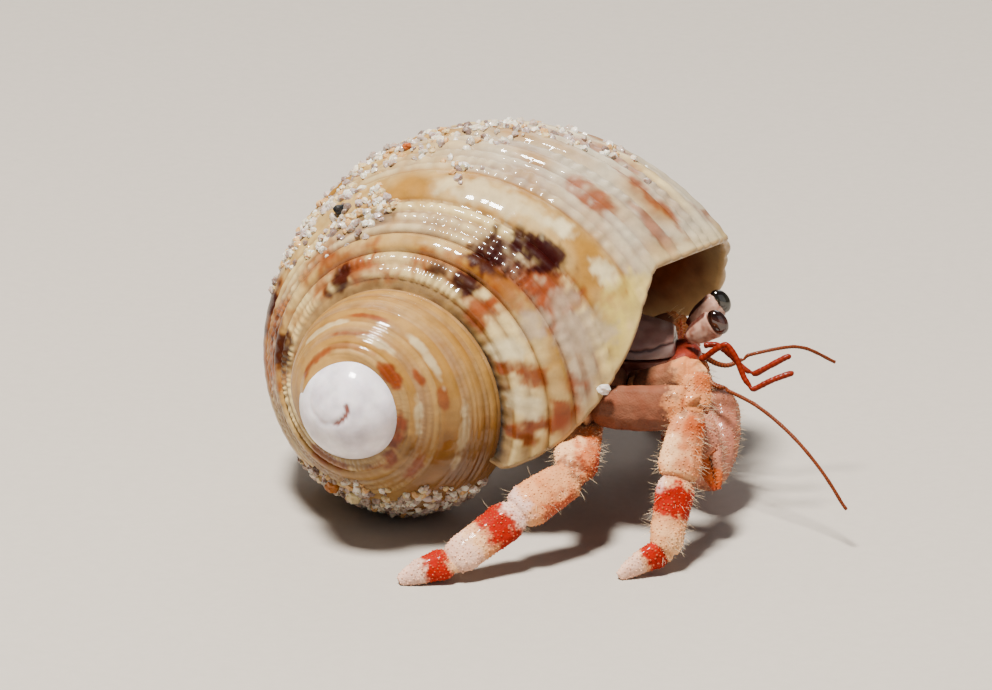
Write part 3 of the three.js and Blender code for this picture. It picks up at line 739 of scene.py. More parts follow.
@dataclass(frozen=True)
class Coil:
    """The helical spiral that the shell grows along. Sizes are in millimetres at turn 0."""

    from_corner: tuple[float, float, float] = (3.3768, -1.1366, 11.0)
    turned: tuple[float, float, float] = (-97.3, 29.6, 65.5)
    growth_per_turn: float = 2.43
    from_axis: float = 7.5
    below_apex: float = 22.0
    half_width: float = 9.8
    half_length: float = 14.3
    lean: float = -34.7
    start_angle: float = 306.5
    pillar_radius: float = 1.3
    worn_below: float = 1.75
    worn_slope: float = 0.2
    cone_below: float = 1.55
    cone_slope: float = 0.62

    def growth(self, turn: Array) -> Array:
        """How much bigger the section is at a turn than at turn 0."""
        return self.growth_per_turn ** turn

    def to_frame(self, points: Array) -> Array:
        """Points of the shell's own frame, base along +Z, as points of the shared frame.

        Args:
            points: Rows of places, in millimetres.

        Returns:
            The same places in the shared frame.
        """
        turns = (Matrix.Rotation(math.radians(a), 3, axis) for a, axis in zip(self.turned, "XYZ"))
        first, second, third = turns
        rotation = np.array(first @ second @ third)
        corner = np.array(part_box("shell")[0]) / MM
        return points @ rotation.T + corner + np.array(self.from_corner)

    def section(self, angle: Array, inset: Array) -> tuple[Array, Array]:
        """The section at turn 0.

        Args:
            angle: Where round the section, in degrees.
            inset: How far inside the full section.

        Returns:
            How far from the axis, and how far below the apex.
        """
        round_it = np.radians(angle)
        across = (self.half_width - inset) * np.cos(round_it)
        down = (self.half_length - inset) * np.sin(round_it)
        lean = math.radians(self.lean)
        radius = self.from_axis + across * math.cos(lean) - down * math.sin(lean)
        below = self.below_apex + across * math.sin(lean) + down * math.cos(lean)
        return np.maximum(radius, self.pillar_radius * 0.94 + inset), below

    def own_points(self, turn: Array, angle: Array, inset: Array) -> Array:
        """Points of the whorl in the shell's own frame, worn away round the apex dome.

        Args:
            turn: The turn of each point.
            angle: Its angle round the section.
            inset: How far it lies inside the full section.

        Returns:
            The places, in millimetres.
        """
        radius, below = self.section(angle, inset)
        round_it = np.radians(self.start_angle + 360.0 * turn)
        scale = self.growth(turn)
        radius, below = radius * scale, below * scale
        worn = self.worn_below + self.worn_slope * radius ** 2
        below = np.maximum(below, np.minimum(worn, self.cone_below + self.cone_slope * radius))
        return np.stack([radius * np.cos(round_it), radius * np.sin(round_it), below], -1)

    def points(self, turn: Array, angle: Array, inset: Array) -> Array:
        """Points of the whorl in the shared frame, flat where the shell stands.

        Args:
            turn: The turn of each point.
            angle: Its angle round the section.
            inset: How far it lies inside the full section.

        Returns:
            The places, in millimetres.
        """
        placed = self.to_frame(self.own_points(turn, angle, inset))
        placed[..., 2] = np.maximum(placed[..., 2], 0.0)
        return placed


@dataclass(frozen=True)
class Lip:
    """The edge of the mouth, as turns of growth at each angle of the section."""

    back: float = -0.105
    advance: float = 0.176
    suture: float = -39.0
    outer_start: float = 20.0
    outer_end: float = 75.0
    sweep_power: float = 1.3
    far_reach: float = 0.026
    far_rise: tuple[float, float] = (88.0, 124.0)
    far_fall: tuple[float, float] = (140.0, 210.0)

    def turn(self, angle: Array) -> Array:
        """The turn at which growth ends at an angle of the section.

        Args:
            angle: The angles, in degrees.

        Returns:
            The turn at each of them.
        """
        wrapped = np.where(angle > LAST_ANGLE, angle - 360.0, angle)
        below = np.clip((wrapped - self.outer_end) / (LAST_ANGLE - self.outer_end), 0.0, 1.0)
        near = np.clip((self.outer_start - wrapped) / (self.outer_start - self.suture), 0.0, 1.0)
        far = self.far_reach * smooth(*self.far_rise, wrapped) * (1.0 - smooth(*self.far_fall, wrapped))
        sweep = np.where(wrapped > self.outer_end, below, near ** self.sweep_power)
        return self.back + self.advance * sweep + far


@dataclass
class TurbanShell:
    """The worn turban shell: whorls with raised cords, a smooth apex and a rounded lip."""

    coil: Coil = field(default_factory=Coil)
    lip: Lip = field(default_factory=Lip)
    relief: float = 0.42
    wall: float = 0.85
    bead_count: int = 96
    cavity_turn: float = -0.78
    seam_turn: float = -0.56
    spire_seam: float = -1.08
    first_turn: float = -1.8
    mouth_columns: int = 380
    body_columns: int = 300
    spire_columns: int = 400
    dome_radius: float = 3.5
    dome_height: float = 3.1
    dome_aside: tuple[float, float] = (0.7, 0.1)
    pieces: list[Piece] = field(default_factory=list)

    def angles(self) -> Array:
        """The angles of the section that get a row of points: close together where cords show.

        Returns:
            The angles, in degrees.
        """
        return np.concatenate([
            np.arange(FIRST_ANGLE, 62.0, 0.95), np.arange(62.0, 168.0, 1.7), np.arange(168.0, 315.0, 7.0),
        ])

    def cord_height(self, turn: Array, angle: Array) -> tuple[Array, Array]:
        """How high the ridges stand.

        Args:
            turn: The turn of each point.
            angle: The angle of each point, in degrees, from FIRST_ANGLE up.

        Returns:
            The height from 0 in a groove to 1 on a crest, and which cord each point belongs to.
        """
        height = np.zeros_like(angle)
        owner = np.full(angle.shape, -1)
        fresh = 0.35 + 0.65 * smooth(-1.0, -0.75, turn)
        calm = 1.0 - 0.85 * smooth(-0.2, -0.13, turn) * (1.0 - smooth(-29.0, -22.0, angle))
        for index, cord in enumerate(CORDS):
            away = np.abs(angle - cord.angle) / cord.half_width
            swell = np.sqrt(np.clip(1.0 - away ** 2, 0.0, 1.0))
            phase = 2.0 * math.pi * (self.bead_count + 3.0 * math.sin(index * 2.4)) * turn + 3.9 * index
            wander = 2.1 * np.sin(turn * 61.0 + index) + 1.3 * np.sin(turn * 139.0 + 2.0 * index)
            depth = 0.5 + 0.35 * np.sin(turn * 23.0 + 1.7 * index) + 0.15 * np.sin(turn * 87.0 + index)
            bead = 1.0 - cord.beads * depth * fresh * calm * 0.5 * (1.0 - np.cos(phase + wander))
            stand = cord.rise * swell * bead
            owner = np.where(stand > height, index, owner)
            height = np.maximum(height, stand)
        plain = smooth(150.0, 170.0, angle)
        return height * (1.0 - plain) + 0.6 * plain, owner

    def outer(self, turn: Array, angle: Array) -> tuple[Array, Array, Array]:
        """The outer surface with its ridges.

        Args:
            turn: The turn of each point.
            angle: The angle of each point.

        Returns:
            The points, the ridge heights and the cord that each point belongs to.
        """
        height, owner = self.cord_height(turn, angle)
        growth_line = 0.035 * np.sin(turn * 380.0 + 2.0 * np.sin(angle * 0.08)) * smooth(-1.3, -0.9, turn)
        fresh = 0.45 + 0.55 * smooth(-0.95, -0.6, turn)
        depth = self.relief * (1.0 - height + growth_line) * fresh
        depth = depth + 0.35 * np.exp(-((angle - FIRST_ANGLE) / 3.5) ** 2) * smooth(-1.4, -1.15, turn)
        inset = depth * self.coil.growth(turn) ** -0.2
        return self.coil.points(turn, angle, inset), height, owner

    def tones(self, turn: Array, angle: Array, height: Array, owner: Array, points: Array) -> Array:
        """The shell's colours.

        Args:
            turn: The turn of each point.
            angle: The angle of each point.
            height: The ridge height of each point.
            owner: The cord that each point belongs to.
            points: The points themselves.

        Returns:
            A linear RGB row for each point.
        """
        turn, angle, height, owner = (a.ravel() for a in (turn, angle, height, owner))
        rows = points.reshape(-1, 3)
        broad = mottle(rows, 4.5, 3.0)
        fine = mottle(rows, 1.1, 9.0)
        crest = np.array([tone(cord.colour) for cord in CORDS] + [tone(CREAM)])[owner]
        colours = paint(crest, CREAM, np.clip(0.32 + 0.5 * broad, 0.0, 0.75))
        colours = paint(colours, GOLD, np.clip(0.15 - 0.6 * fine, 0.0, 0.5))
        # The grooves between the cords take an amber tone that is partly their own colour and partly painted
        # shade, stronger near the suture.
        young = 0.4 + 0.6 * smooth(-1.0, -0.62, turn)
        near = 0.42 + 0.12 * (1.0 - smooth(-22.0, -8.0, angle))
        groove = (1.0 - smooth(0.12, 0.62, height)) * np.clip(near + 0.25 * fine, 0.0, 0.95) * young
        colours = paint(colours, GROOVE_AMBER_AND_SHADE, groove)
        milky = smooth(4.0, 22.0, angle) * (1.0 - smooth(62.0, 90.0, angle)) * smooth(-0.33, -0.2, turn)
        colours = paint(colours, MILK, np.clip(0.5 + 0.4 * broad, 0.0, 0.8) * milky)
        base = smooth(95.0, 160.0, angle)
        colours = paint(colours, CREAM, 0.7 * base)
        spire = 1.0 - smooth(-1.0, -0.62, turn)
        colours = paint(colours, TAN, 0.7 * spire)
        bands = 0.5 + 0.5 * np.sin(np.radians(angle) * 24.0 + 0.6 * broad)
        colours = paint(colours, STRAW, 0.4 * spire * bands)
        # Painted shade: the suture crease is darkened with brown, and a dark line is drawn along it, where
        # shade falls.
        suture_shade = np.exp(-((angle - FIRST_ANGLE) / 3.2) ** 2) * np.clip(0.75 + 0.5 * fine, 0.0, 1.0)
        suture_shade = suture_shade * smooth(-1.35, -1.1, turn) * (0.6 + 0.3 * smooth(-0.25, -0.1, turn))
        colours = paint(colours, SUTURE_SHADE_BROWN, suture_shade)
        line = np.exp(-((angle - FIRST_ANGLE) / 1.7) ** 2) * smooth(-0.22, -0.1, turn)
        colours = paint(colours, SUTURE_SHADE_LINE, 0.95 * line)
        # Painted shade: the spire turns brown towards the floor, where shade falls under the shell.
        under = spire * (1.0 - smooth(3.0, 9.5, rows[:, 2] + 0.8 * broad))
        colours = paint(colours, PAINTED_SHADE_BROWN, 0.75 * under)
        colours = self._flames(colours, turn, angle, rows, fine)
        fray = 0.8 * fine + 0.4 * mottle(rows, 0.6, 31.0)
        for patch in PATCHES + SPIRE_PATCHES:
            colours = self._paint(colours, patch, turn, angle, fray)
        lip = smooth(-0.02, 0.0, turn - self.lip.turn(angle))
        colours = paint(colours, CREAM, 0.5 * lip)
        white = 1.0 - smooth(-1.78, -1.72, turn + 0.02 * fine)
        return paint(colours, APEX_WHITE, white)

    def _flames(self, colours: Array, turn: Array, angle: Array, rows: Array, fine: Array) -> Array:
        """The brown flames of the sides that turn away from the patches named one by one.

        Args:
            colours: What the shell has so far.
            turn: The turn of each point.
            angle: Its angle.
            rows: Its place, in millimetres.
            fine: A fine noise.

        Returns:
            The new colours.
        """
        away = smooth(48.0, 75.0, angle) * smooth(-1.3, -1.0, turn)
        cloud = mottle(rows, 3.4, 21.0) + 0.25 * fine
        colours = paint(colours, ORANGE, 0.9 * away * smooth(0.28, 0.5, cloud))
        return paint(colours, DARK, 0.8 * away * smooth(0.5, 0.72, cloud))

    def _paint(self, colours: Array, patch: Patch, turn: Array, angle: Array, fray: Array) -> Array:
        """One blotch, its edge frayed.

        Args:
            colours: What the shell has so far.
            patch: The blotch.
            turn: The turn of each point.
            angle: Its angle.
            fray: How the edge is pushed in and out.

        Returns:
            The new colours.
        """
        far = ellipse(patch, turn, angle)
        near = far < 4.0
        weight = np.zeros_like(turn)
        ragged = 1.0 - smooth(0.2, 1.8, far[near] + fray[near])
        weight[near] = ragged * (1.0 - smooth(2.5, 4.0, far[near]))
        return paint(colours, patch.colour, patch.strength * weight)

    def _tube(self, name: str, turns: Array, ending: Callable[[Array], Array] | None) -> Piece:
        """A length of whorl between two turns.

        Args:
            name: The piece's name.
            turns: The turns of its columns.
            ending: Gives the last turn at each angle, or nothing where the columns end together.

        Returns:
            The closed piece.
        """
        angles = self.angles()
        share = (turns - turns[0]) / (turns[-1] - turns[0])
        rim = 0.0 * angles
        last = np.full_like(angles, turns[-1])
        if ending is not None:
            girth = 2.0 * math.pi * np.maximum(self.coil.section(angles, 0.0 * angles)[0], 4.0)
            rim = 0.5 * self.wall / girth
            last = ending(angles) - rim
        turn = turns[0] + share[:, None] * (last - turns[0])[None, :]
        angle = np.broadcast_to(angles, turn.shape)
        points, height, owner = self.outer(turn, angle)
        rings = [points]
        colours = [self.tones(turn, angle, height, owner, points)]
        marks = [(turn, angle)]
        inner_last = turns[0] if ending is not None else self.cavity_turn
        if ending is not None or turns[-1] > self.cavity_turn:
            bends = np.linspace(0.0, math.pi, 9)[1:-1] if ending is not None else np.array([])
            for bend in bends:
                here = last + rim * math.sin(bend)
                inset = 0.5 * self.wall * (1.0 - math.cos(bend))
                inset = inset + self.relief * (1.0 - height[-1]) * (1.0 + math.cos(bend)) / 2.0
                rings.append(self.coil.points(here, angles, inset)[None])
                marks.append((here[None], angles[None]))
            inward = np.linspace(0.0, 1.0, 26)
            here = last[None, :] + inward[:, None] * (inner_last - last)[None, :]
            inset = self.wall * self.coil.growth(here) ** -0.5
            rings.append(self.coil.points(here, np.broadcast_to(angles, here.shape), inset))
            marks.append((here, np.broadcast_to(angles, here.shape)))
        for ring, (here, _) in zip(rings[1:], marks[1:]):
            colours.append(self._lining(ring.reshape(-1, 3), here.ravel(), last, here.shape))
        stacked = np.concatenate(rings)
        faces = grid_faces(len(stacked), len(angles), True)
        flat = stacked.reshape(-1, 3)
        flat, faces = self._close(flat, faces, len(stacked), len(angles), ending is not None)
        coats = np.concatenate(colours)
        extra = len(flat) - len(coats)
        coats = np.concatenate([coats, plain_coat(CREAM, extra)])
        turn_mark = np.concatenate([m[0].ravel() for m in marks] + [np.zeros(extra)])
        angle_mark = np.concatenate([m[1].ravel() for m in marks] + [np.full(extra, 200.0)])
        skin = Skin(flat, faces, coats, {"turn": turn_mark, "angle": angle_mark})
        piece = skin.build(name)
        piece["outer_columns"] = len(turns)
        return self._settled(piece, SHELL_FINISH)

    def _lining(self, points: Array, turn: Array, last: Array, shape: tuple[int, ...]) -> Array:
        """The colours inside the mouth: pale at the lip, then painted shade that turns warm brown and
        deepens further in.

        Args:
            points: Places inside the whorl.
            turn: Their turns.
            last: The turn of the lip at each angle.
            shape: How many rows and columns the places have.

        Returns:
            A linear RGB row for each point.
        """
        deep = np.broadcast_to(last, shape).ravel() - turn
        cloud = mottle(points, 2.0, 5.0)
        colours = plain_coat(LINING_PALE, len(points))
        # Painted shade: the lining turns warm brown and then deep brown further into the mouth.
        colours = paint(colours, LINING_WARM_SHADE, smooth(0.004, 0.03, deep + 0.006 * cloud))
        return paint(colours, LINING_DEEP_SHADE, 0.8 * smooth(0.03, 0.15, deep))

    def _close(self, points: Array, faces: list, rings: int, columns: int,
               mouth: bool) -> tuple[Array, list]:
        """Closes the ends: the mouth whorl on itself, and any other length with a cap at each end.

        Args:
            points: The points of all rings.
            faces: The faces so far.
            rings: How many rings there are.
            columns: How many points each has.
            mouth: Whether it is the whorl with the mouth.

        Returns:
            All the points and all the faces.
        """
        if mouth:
            top = (rings - 1) * columns
            for column in range(columns):
                beside = (column + 1) % columns
                faces.append((beside, column, top + column, top + beside))
            return points, faces
        ends = [points[:columns].mean(0), points[-columns:].mean(0)]
        return np.concatenate([points, np.array(ends)]), faces + pole_faces(rings, columns)

    def _settled(self, piece: Piece, finish: Finish) -> Piece:
        """Turns the faces outwards, keeps hard corners hard and gives the finish.

        Args:
            piece: The object.
            finish: What it is finished in.

        Returns:
            The same object.
        """
        turn_outwards(piece)
        piece.data.set_sharp_from_angle(angle=math.radians(SHARP_CORNER))
        piece.data.materials.append(finish.material())
        self.pieces.append(piece)
        return piece

    def dome(self) -> Piece:
        """The smooth white apex, with the brown line of the first suture hooked into it.

        Returns:
            The closed piece.
        """
        rings, sides = 44, 96
        down = np.linspace(0.0, math.pi * 0.62, rings)[1:]
        around = circle(sides)
        fall, turn = np.meshgrid(down, around, indexing="ij")
        own = self._dome_point(fall, turn)
        groove, stain = self._hook(own)
        middle = np.array([*self.dome_aside, self.coil.worn_below + self.dome_height])
        own = own - unit(own - middle) * (0.15 * groove)[..., None]
        top = self._dome_point(np.zeros(1), np.zeros(1))
        end = np.array([[*self.dome_aside, own[-1, :, 2].mean() + 0.6]])
        flat = self.coil.to_frame(np.concatenate([own.reshape(-1, 3), top, end]))
        faces = grid_faces(rings - 1, sides, True) + pole_faces(rings - 1, sides)
        stain = np.concatenate([stain.ravel(), [0.0, 0.0]])
        cloud = mottle(flat, 1.3, 4.0)
        colours = plain_coat(DOME_WHITE, len(flat))
        colours = paint(colours, DOME_GREY, np.clip(0.3 + 0.5 * cloud, 0.0, 0.8))
        colours = paint(colours, DOME_STAIN, 0.95 * smooth(0.3, 0.9, stain))
        return self._settled(Skin(flat, faces, colours).build("shell_apex"), DOME_FINISH)

    def _dome_point(self, fall: Array, turn: Array) -> Array:
        """A point of the dome in the shell's own frame.

        Args:
            fall: How far from the top, in radians.
            turn: Where round the dome, in radians.

        Returns:
            The places, in millimetres.
        """
        radius = self.dome_radius * np.sin(fall)
        below = self.coil.worn_below + self.dome_height * (1.0 - np.cos(fall))
        across = radius * np.cos(turn) + self.dome_aside[0]
        return np.stack([across, radius * np.sin(turn) + self.dome_aside[1], below], -1)

    def _hook(self, own: Array) -> tuple[Array, Array]:
        """How deep the first suture's groove is at points of the dome, and how brown.

        Args:
            own: Points in the shell's own frame.

        Returns:
            The depth and the brown, from 0 to 1.
        """
        stops = np.array(FIRST_SUTURE)
        share = np.linspace(0.0, 1.0, 90)
        at = np.linspace(0.0, 1.0, len(stops))
        radius = np.interp(share, at, stops[:, 0])
        around = np.radians(np.interp(share, at, stops[:, 1]))
        line = np.stack([radius * np.cos(around), radius * np.sin(around)], -1) + np.array(self.dome_aside)
        away = np.linalg.norm(own[..., None, :2] - line, axis=-1)
        near = np.exp(-(away / 0.2) ** 2)
        shallower = 1.0 - 0.6 * smooth(0.3, 0.55, share)
        depth = smooth(0.0, 0.1, share) * shallower * (1.0 - smooth(0.85, 1.0, share))
        brown = smooth(0.0, 0.06, share) * (1.0 - smooth(0.36, 0.6, share))
        return (near * depth).max(-1), (near * brown).max(-1)

    def pillar(self) -> Piece:
        """The pillar down the middle of the whorls, with its rounded foot.

        Returns:
            The closed piece.
        """
        length, foot, sides = 26.4, 2.2, 28
        straight = length - foot
        bend = np.sin(np.linspace(0.0, math.pi / 2, 9)[1:])
        along = np.concatenate([np.linspace(2.5, straight, 20), straight + foot * bend])
        rounded = np.sqrt(np.clip(1.0 - ((along - straight) / foot).clip(0.0, 1.0) ** 2, 0.0, 1.0))
        size = self.coil.pillar_radius * np.minimum(along / (length * 0.355), 1.0) * rounded
        around = circle(sides)
        twist = 1.0 + 0.05 * np.sin(3.0 * around[None, :] + 0.8 * along[:, None])
        own = np.stack([
            size[:, None] * twist * np.cos(around), size[:, None] * twist * np.sin(around),
            np.broadcast_to(along[:, None], (len(along), len(around))),
        ], -1)[:-1]
        ends = np.array([[0.0, 0.0, foot], [0.0, 0.0, length]])
        flat = self.coil.to_frame(np.concatenate([own.reshape(-1, 3), ends]))
        faces = grid_faces(own.shape[0], sides, True) + pole_faces(own.shape[0], sides)
        cloud = np.clip(0.3 + 0.4 * mottle(flat, 2.0, 8.0), 0.0, 0.8)
        colours = paint(plain_coat(PILLAR_PALE, len(flat)), PILLAR_WARM, cloud)
        return self._settled(Skin(flat, faces, colours).build("shell_columella"), SHELL_FINISH)

    def build(self) -> None:
        """Makes every piece of the shell and hands them over."""
        self._tube("shell_mouth_whorl", np.linspace(self.seam_turn, 0.0, self.mouth_columns), self.lip.turn)
        self._tube("shell_body_whorl", np.linspace(self.spire_seam, self.seam_turn, self.body_columns), None)
        self._tube("shell_spire", np.linspace(self.first_turn, self.spire_seam, self.spire_columns), None)
        self.dome()
        self.pillar()
        for piece in self.pieces:
            hand_over(piece, "shell", "shell")


def turn_outwards(piece: Piece) -> None:
    """Turns a closed mesh's faces so that its volume is positive.

    Args:
        piece: The object.
    """
    mesh = piece.data
    mesh.calc_loop_triangles()
    corners = read_indices(mesh.loop_triangles, "vertices", 3)
    a, b, c = (mesh_points(piece)[corners[:, side]] for side in range(3))
    if np.einsum("ij,ij->i", a, np.cross(b, c)).sum() < 0:
        mesh.flip_normals()


# ---------------------------------------------------------------- skins round the solids


def solid_mesh(nodes: Sequence[str]) -> bpy.types.Mesh:
    """The merged copy of some solids as one mesh, in millimetres.

    Args:
        nodes: The solids.

    Returns:
        The mesh.
    """
    whole = bmesh.new()
    for node in nodes:
        part = bmesh.new()
        part.from_mesh(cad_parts[node].data)
        part.transform(Matrix.Scale(1.0 / MM, 4))
        bmesh.ops.remove_doubles(part, verts=part.verts, dist=0.002)
        bmesh.ops.recalc_face_normals(part, faces=part.faces)
        copy = bpy.data.meshes.new(node + "_copy")
        part.to_mesh(copy)
        part.free()
        whole.from_mesh(copy)
        bpy.data.meshes.remove(copy)
    mesh = bpy.data.meshes.new("solids")
    whole.to_mesh(mesh)
    whole.free()
    return mesh


def solid_points(node: str) -> Array:
    """The points of one solid, in millimetres."""
    return mesh_points(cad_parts[node])


def joint_between(first: str, second: str, reach: float = 0.45) -> Array:
    """The middle of the place where two solids meet, in millimetres.

    Args:
        first: One solid.
        second: The other solid.
        reach: How much further apart than the nearest points still counts.

    Returns:
        The place.
    """
    a, b = solid_points(first), solid_points(second)
    apart = np.linalg.norm(a[:, None] - b[None], axis=-1)
    limit = apart.min() + reach
    near = np.concatenate([a[apart.min(1) < limit], b[apart.min(0) < limit]])
    return near.mean(0)


def far_end(node: str, start: Array) -> Array:
    """The middle of the end of a solid that is furthest from a place.

    Args:
        node: The solid.
        start: The place.

    Returns:
        The middle of its end, in millimetres.
    """
    points = solid_points(node)
    away = np.linalg.norm(points - start, axis=1)
    return points[away > away.max() - 0.25].mean(0)


@dataclass(frozen=True)
class Wrap:
    """A smooth skin wrapped round one or more solids. Sizes are in millimetres."""

    voxel: float = 0.1
    swell: float = 0.06
    passes: int = 12

    def build(self, name: str, nodes: Sequence[str]) -> Piece:
        """Makes the skin.

        Args:
            name: The object's name.
            nodes: The solids that it goes round.

        Returns:
            A closed mesh object, in metres.
        """
        piece = new_object(name, solid_mesh(nodes))
        puff = piece.modifiers.new("puff", "DISPLACE")
        puff.strength = self.swell
        puff.mid_level = 0.0
        joined = piece.modifiers.new("joined", "REMESH")
        joined.mode = "VOXEL"
        joined.voxel_size = self.voxel
        even = piece.modifiers.new("even", "SMOOTH")
        even.factor = 0.5
        even.iterations = self.passes
        finished(piece)
        in_millimetres = mesh_points(piece) * MM
        set_points(piece, in_millimetres - point_normals(piece) * self.swell * 0.7)
        keep_above_floor(piece)
        piece.data.materials.clear()
        piece.data.shade_smooth()
        return piece


# ---------------------------------------------------------------- limbs


class Facing(Enum):
    """The side of a limb that a band of colour is on."""

    ALL = (0.0, 0.0, 0.0)
    LEFT = (-1.0, 0.0, 0.0)
    RIGHT = (1.0, 0.0, 0.0)
    UP_LEFT = (-0.7, 0.0, 0.7)
    DOWN_RIGHT = (0.7, 0.0, -0.7)


@dataclass(frozen=True)
class Band:
    """A band of colour on one segment of a limb, from one fraction of its length to another."""

    segment: int
    start: float
    end: float
    colour: int
    strength: float = 0.9
    facing: Facing = Facing.ALL
    fray: float = 0.07


MAUVE = 0x966A5C
BONE = 0xEECEAC
PEACH = 0xD8A070
VERMILION = 0xBC4006
BLOOD = 0x8E3014
PEARL = 0xE8D2CA
AMBER = 0xCA7A38

WALKING_BANDS = (
    Band(0, -0.2, 1.2, MAUVE, 0.9), Band(1, -0.2, 0.86, MAUVE, 0.92), Band(1, 0.86, 1.2, PEACH, 0.8),
    Band(1, 0.84, 1.02, VERMILION, 0.75, Facing.DOWN_RIGHT, 0.03), Band(2, -0.05, 0.06, BLOOD, 0.8),
    Band(2, 0.05, 0.95, AMBER, 0.6, Facing.RIGHT), Band(2, 0.1, 0.9, BONE, 0.7, Facing.LEFT),
    Band(2, 0.06, 0.3, VERMILION, 0.85, Facing.DOWN_RIGHT, 0.09),
    Band(2, 0.08, 0.4, AMBER, 0.55), Band(3, -0.04, 0.03, VERMILION, 0.7),
    Band(3, 0.12, 0.55, VERMILION, 1.0),
    Band(3, 0.03, 0.2, PEARL, 0.85, Facing.LEFT), Band(3, 0.55, 0.72, PEACH, 0.5),
    Band(4, -0.1, 0.42, VERMILION, 1.0), Band(4, 0.5, 1.2, PEARL, 0.6),
)

REAR_BANDS = (
    Band(0, -0.2, 1.2, MAUVE, 0.9), Band(1, -0.2, 0.42, MAUVE, 0.9),
    Band(1, 0.42, 1.1, AMBER, 0.75, Facing.RIGHT), Band(1, 0.42, 1.1, BONE, 0.7, Facing.LEFT),
    Band(1, 0.94, 1.05, BLOOD, 0.8), Band(2, -0.04, 0.05, BLOOD, 0.9),
    Band(1, 0.62, 0.95, VERMILION, 0.8, Facing.DOWN_RIGHT, 0.09), Band(2, 0.05, 0.95, PEACH, 0.6),
    Band(2, 0.2, 0.8, VERMILION, 0.7, Facing.DOWN_RIGHT),
    Band(2, 0.85, 1.05, PEARL, 0.8, Facing.UP_LEFT), Band(3, -0.05, 0.12, PEARL, 0.9),
    Band(3, 0.1, 0.5, VERMILION, 1.0), Band(3, 0.5, 0.66, PEACH, 0.6, Facing.DOWN_RIGHT),
    Band(3, 0.66, 1.1, PEARL, 0.6), Band(4, 0.02, 0.5, VERMILION, 1.0), Band(4, 0.5, 1.2, PEARL, 0.7),
)

ARM_BANDS = (
    Band(0, -0.2, 1.2, MAUVE, 0.9), Band(1, -0.2, 0.8, MAUVE, 0.85), Band(1, 0.8, 1.2, PEACH, 0.8),
    Band(2, -0.1, 1.1, PEACH, 0.75), Band(2, 0.0, 0.5, AMBER, 0.6, Facing.RIGHT),
    Band(2, 0.88, 1.05, BLOOD, 0.85, Facing.RIGHT), Band(2, 0.5, 0.95, BONE, 0.7, Facing.LEFT),
)

HAIRY_SIDE = (0.94, 0.0, 0.34)  # hairs stand on the edges of a limb that face this way and its opposite

PALM_BANDS = (
    Band(0, -0.1, 0.14, VERMILION, 0.5), Band(0, 0.05, 0.5, AMBER, 0.6),
    Band(0, 0.5, 1.1, PEARL, 0.2), Band(0, 0.96, 1.05, BLOOD, 0.4),
)


@dataclass
class Line:
    """The middle line of a limb, through its joints, in millimetres."""

    joints: Array

    @staticmethod
    def through(nodes: Sequence[str]) -> "Line":
        """The line through solids that follow one another.

        Args:
            nodes: The solids, from the root of the limb to its tip.

        Returns:
            The line.
        """
        joints = [joint_between(a, b) for a, b in zip(nodes, nodes[1:])]
        first = far_end(nodes[0], joints[0] if joints else far_end(nodes[0], np.zeros(3)))
        last = far_end(nodes[-1], joints[-1] if joints else first)
        return Line(np.array([first, *joints, last]))

    def locate(self, points: Array) -> tuple[Array, Array, Array]:
        """Where points are along the line.

        Args:
            points: Rows of places, in millimetres.

        Returns:
            The segment, the fraction of its length, and the segment's direction, for each row.
        """
        best = np.full(len(points), 1e9)
        segment = np.zeros(len(points), int)
        share = np.zeros(len(points))
        for index, (a, b) in enumerate(zip(self.joints, self.joints[1:])):
            way = b - a
            along = (points - a) @ way / (way @ way)
            away = np.linalg.norm(points - a - np.clip(along, 0.0, 1.0)[:, None] * way, axis=1)
            closer = away < best
            best[closer], segment[closer], share[closer] = away[closer], index, along[closer]
        ways = unit(np.diff(self.joints, axis=0))
        return segment, share, ways[segment]


def banded(points: Array, normals: Array, line: Line, bands: Sequence[Band], base: int) -> Array:
    """The colours of a limb.

    Args:
        points: Rows of places on the skin, in millimetres.
        normals: The skin's normals there.
        line: The limb's middle line.
        bands: What is painted over the base, in order.
        base: The colour under the bands.

    Returns:
        A linear RGB row for each point.
    """
    segment, share, _ = line.locate(points)
    coarse = mottle(points, 0.9, 2.0)
    fine = mottle(points, 0.28, 12.0)
    colours = plain_coat(base, len(points))
    colours = paint(colours, PEACH, np.clip(0.2 + 0.5 * coarse, 0.0, 0.7))
    frayed = share + 0.06 * coarse + 0.05 * fine
    for band in bands:
        inside = smooth(band.start - band.fray, band.start + band.fray, frayed)
        inside = inside * (1.0 - smooth(band.end - band.fray, band.end + band.fray, frayed))
        if band.facing is not Facing.ALL:
            inside = inside * smooth(-0.15, 0.45, normals @ np.array(band.facing.value) + 0.25 * coarse)
        colours = paint(colours, band.colour, band.strength * inside * (segment == band.segment))
    specks = smooth(0.62, 0.8, mottle(points, 0.16, 30.0, 1)) * (segment >= 3)
    return paint(colours, 0x8A4A2C, 0.3 * specks)


def sphere(rings: int, sides: int) -> tuple[Array, list[tuple[int, ...]]]:
    """A ball of radius 1 with its poles on the z axis.

    Args:
        rings: How many bands it has from pole to pole.
        sides: How many sides.

    Returns:
        Its points and its faces.
    """
    fall, turn = np.meshgrid(np.linspace(0.0, math.pi, rings + 1)[1:-1], circle(sides), indexing="ij")
    points = np.stack([np.sin(fall) * np.cos(turn), np.sin(fall) * np.sin(turn), np.cos(fall)], -1)
    points = np.concatenate([points.reshape(-1, 3), [[0.0, 0.0, 1.0], [0.0, 0.0, -1.0]]])
    return points, grid_faces(rings - 1, sides, True) + pole_faces(rings - 1, sides)


def ball(name: str, rings: int, sides: int, flatness: float = 1.0) -> Piece:
    """A little ball for strewing, half sunk so that its foot is closed and out of sight.

    Args:
        name: Its name.
        rings: How many bands it has from pole to pole.
        sides: How many sides.
        flatness: Its height over its width.

    Returns:
        The object.
    """
    points, faces = sphere(rings, sides)
    piece = Skin(points * [1.0, 1.0, flatness], faces).build(name)
    turn_outwards(piece)
    return piece


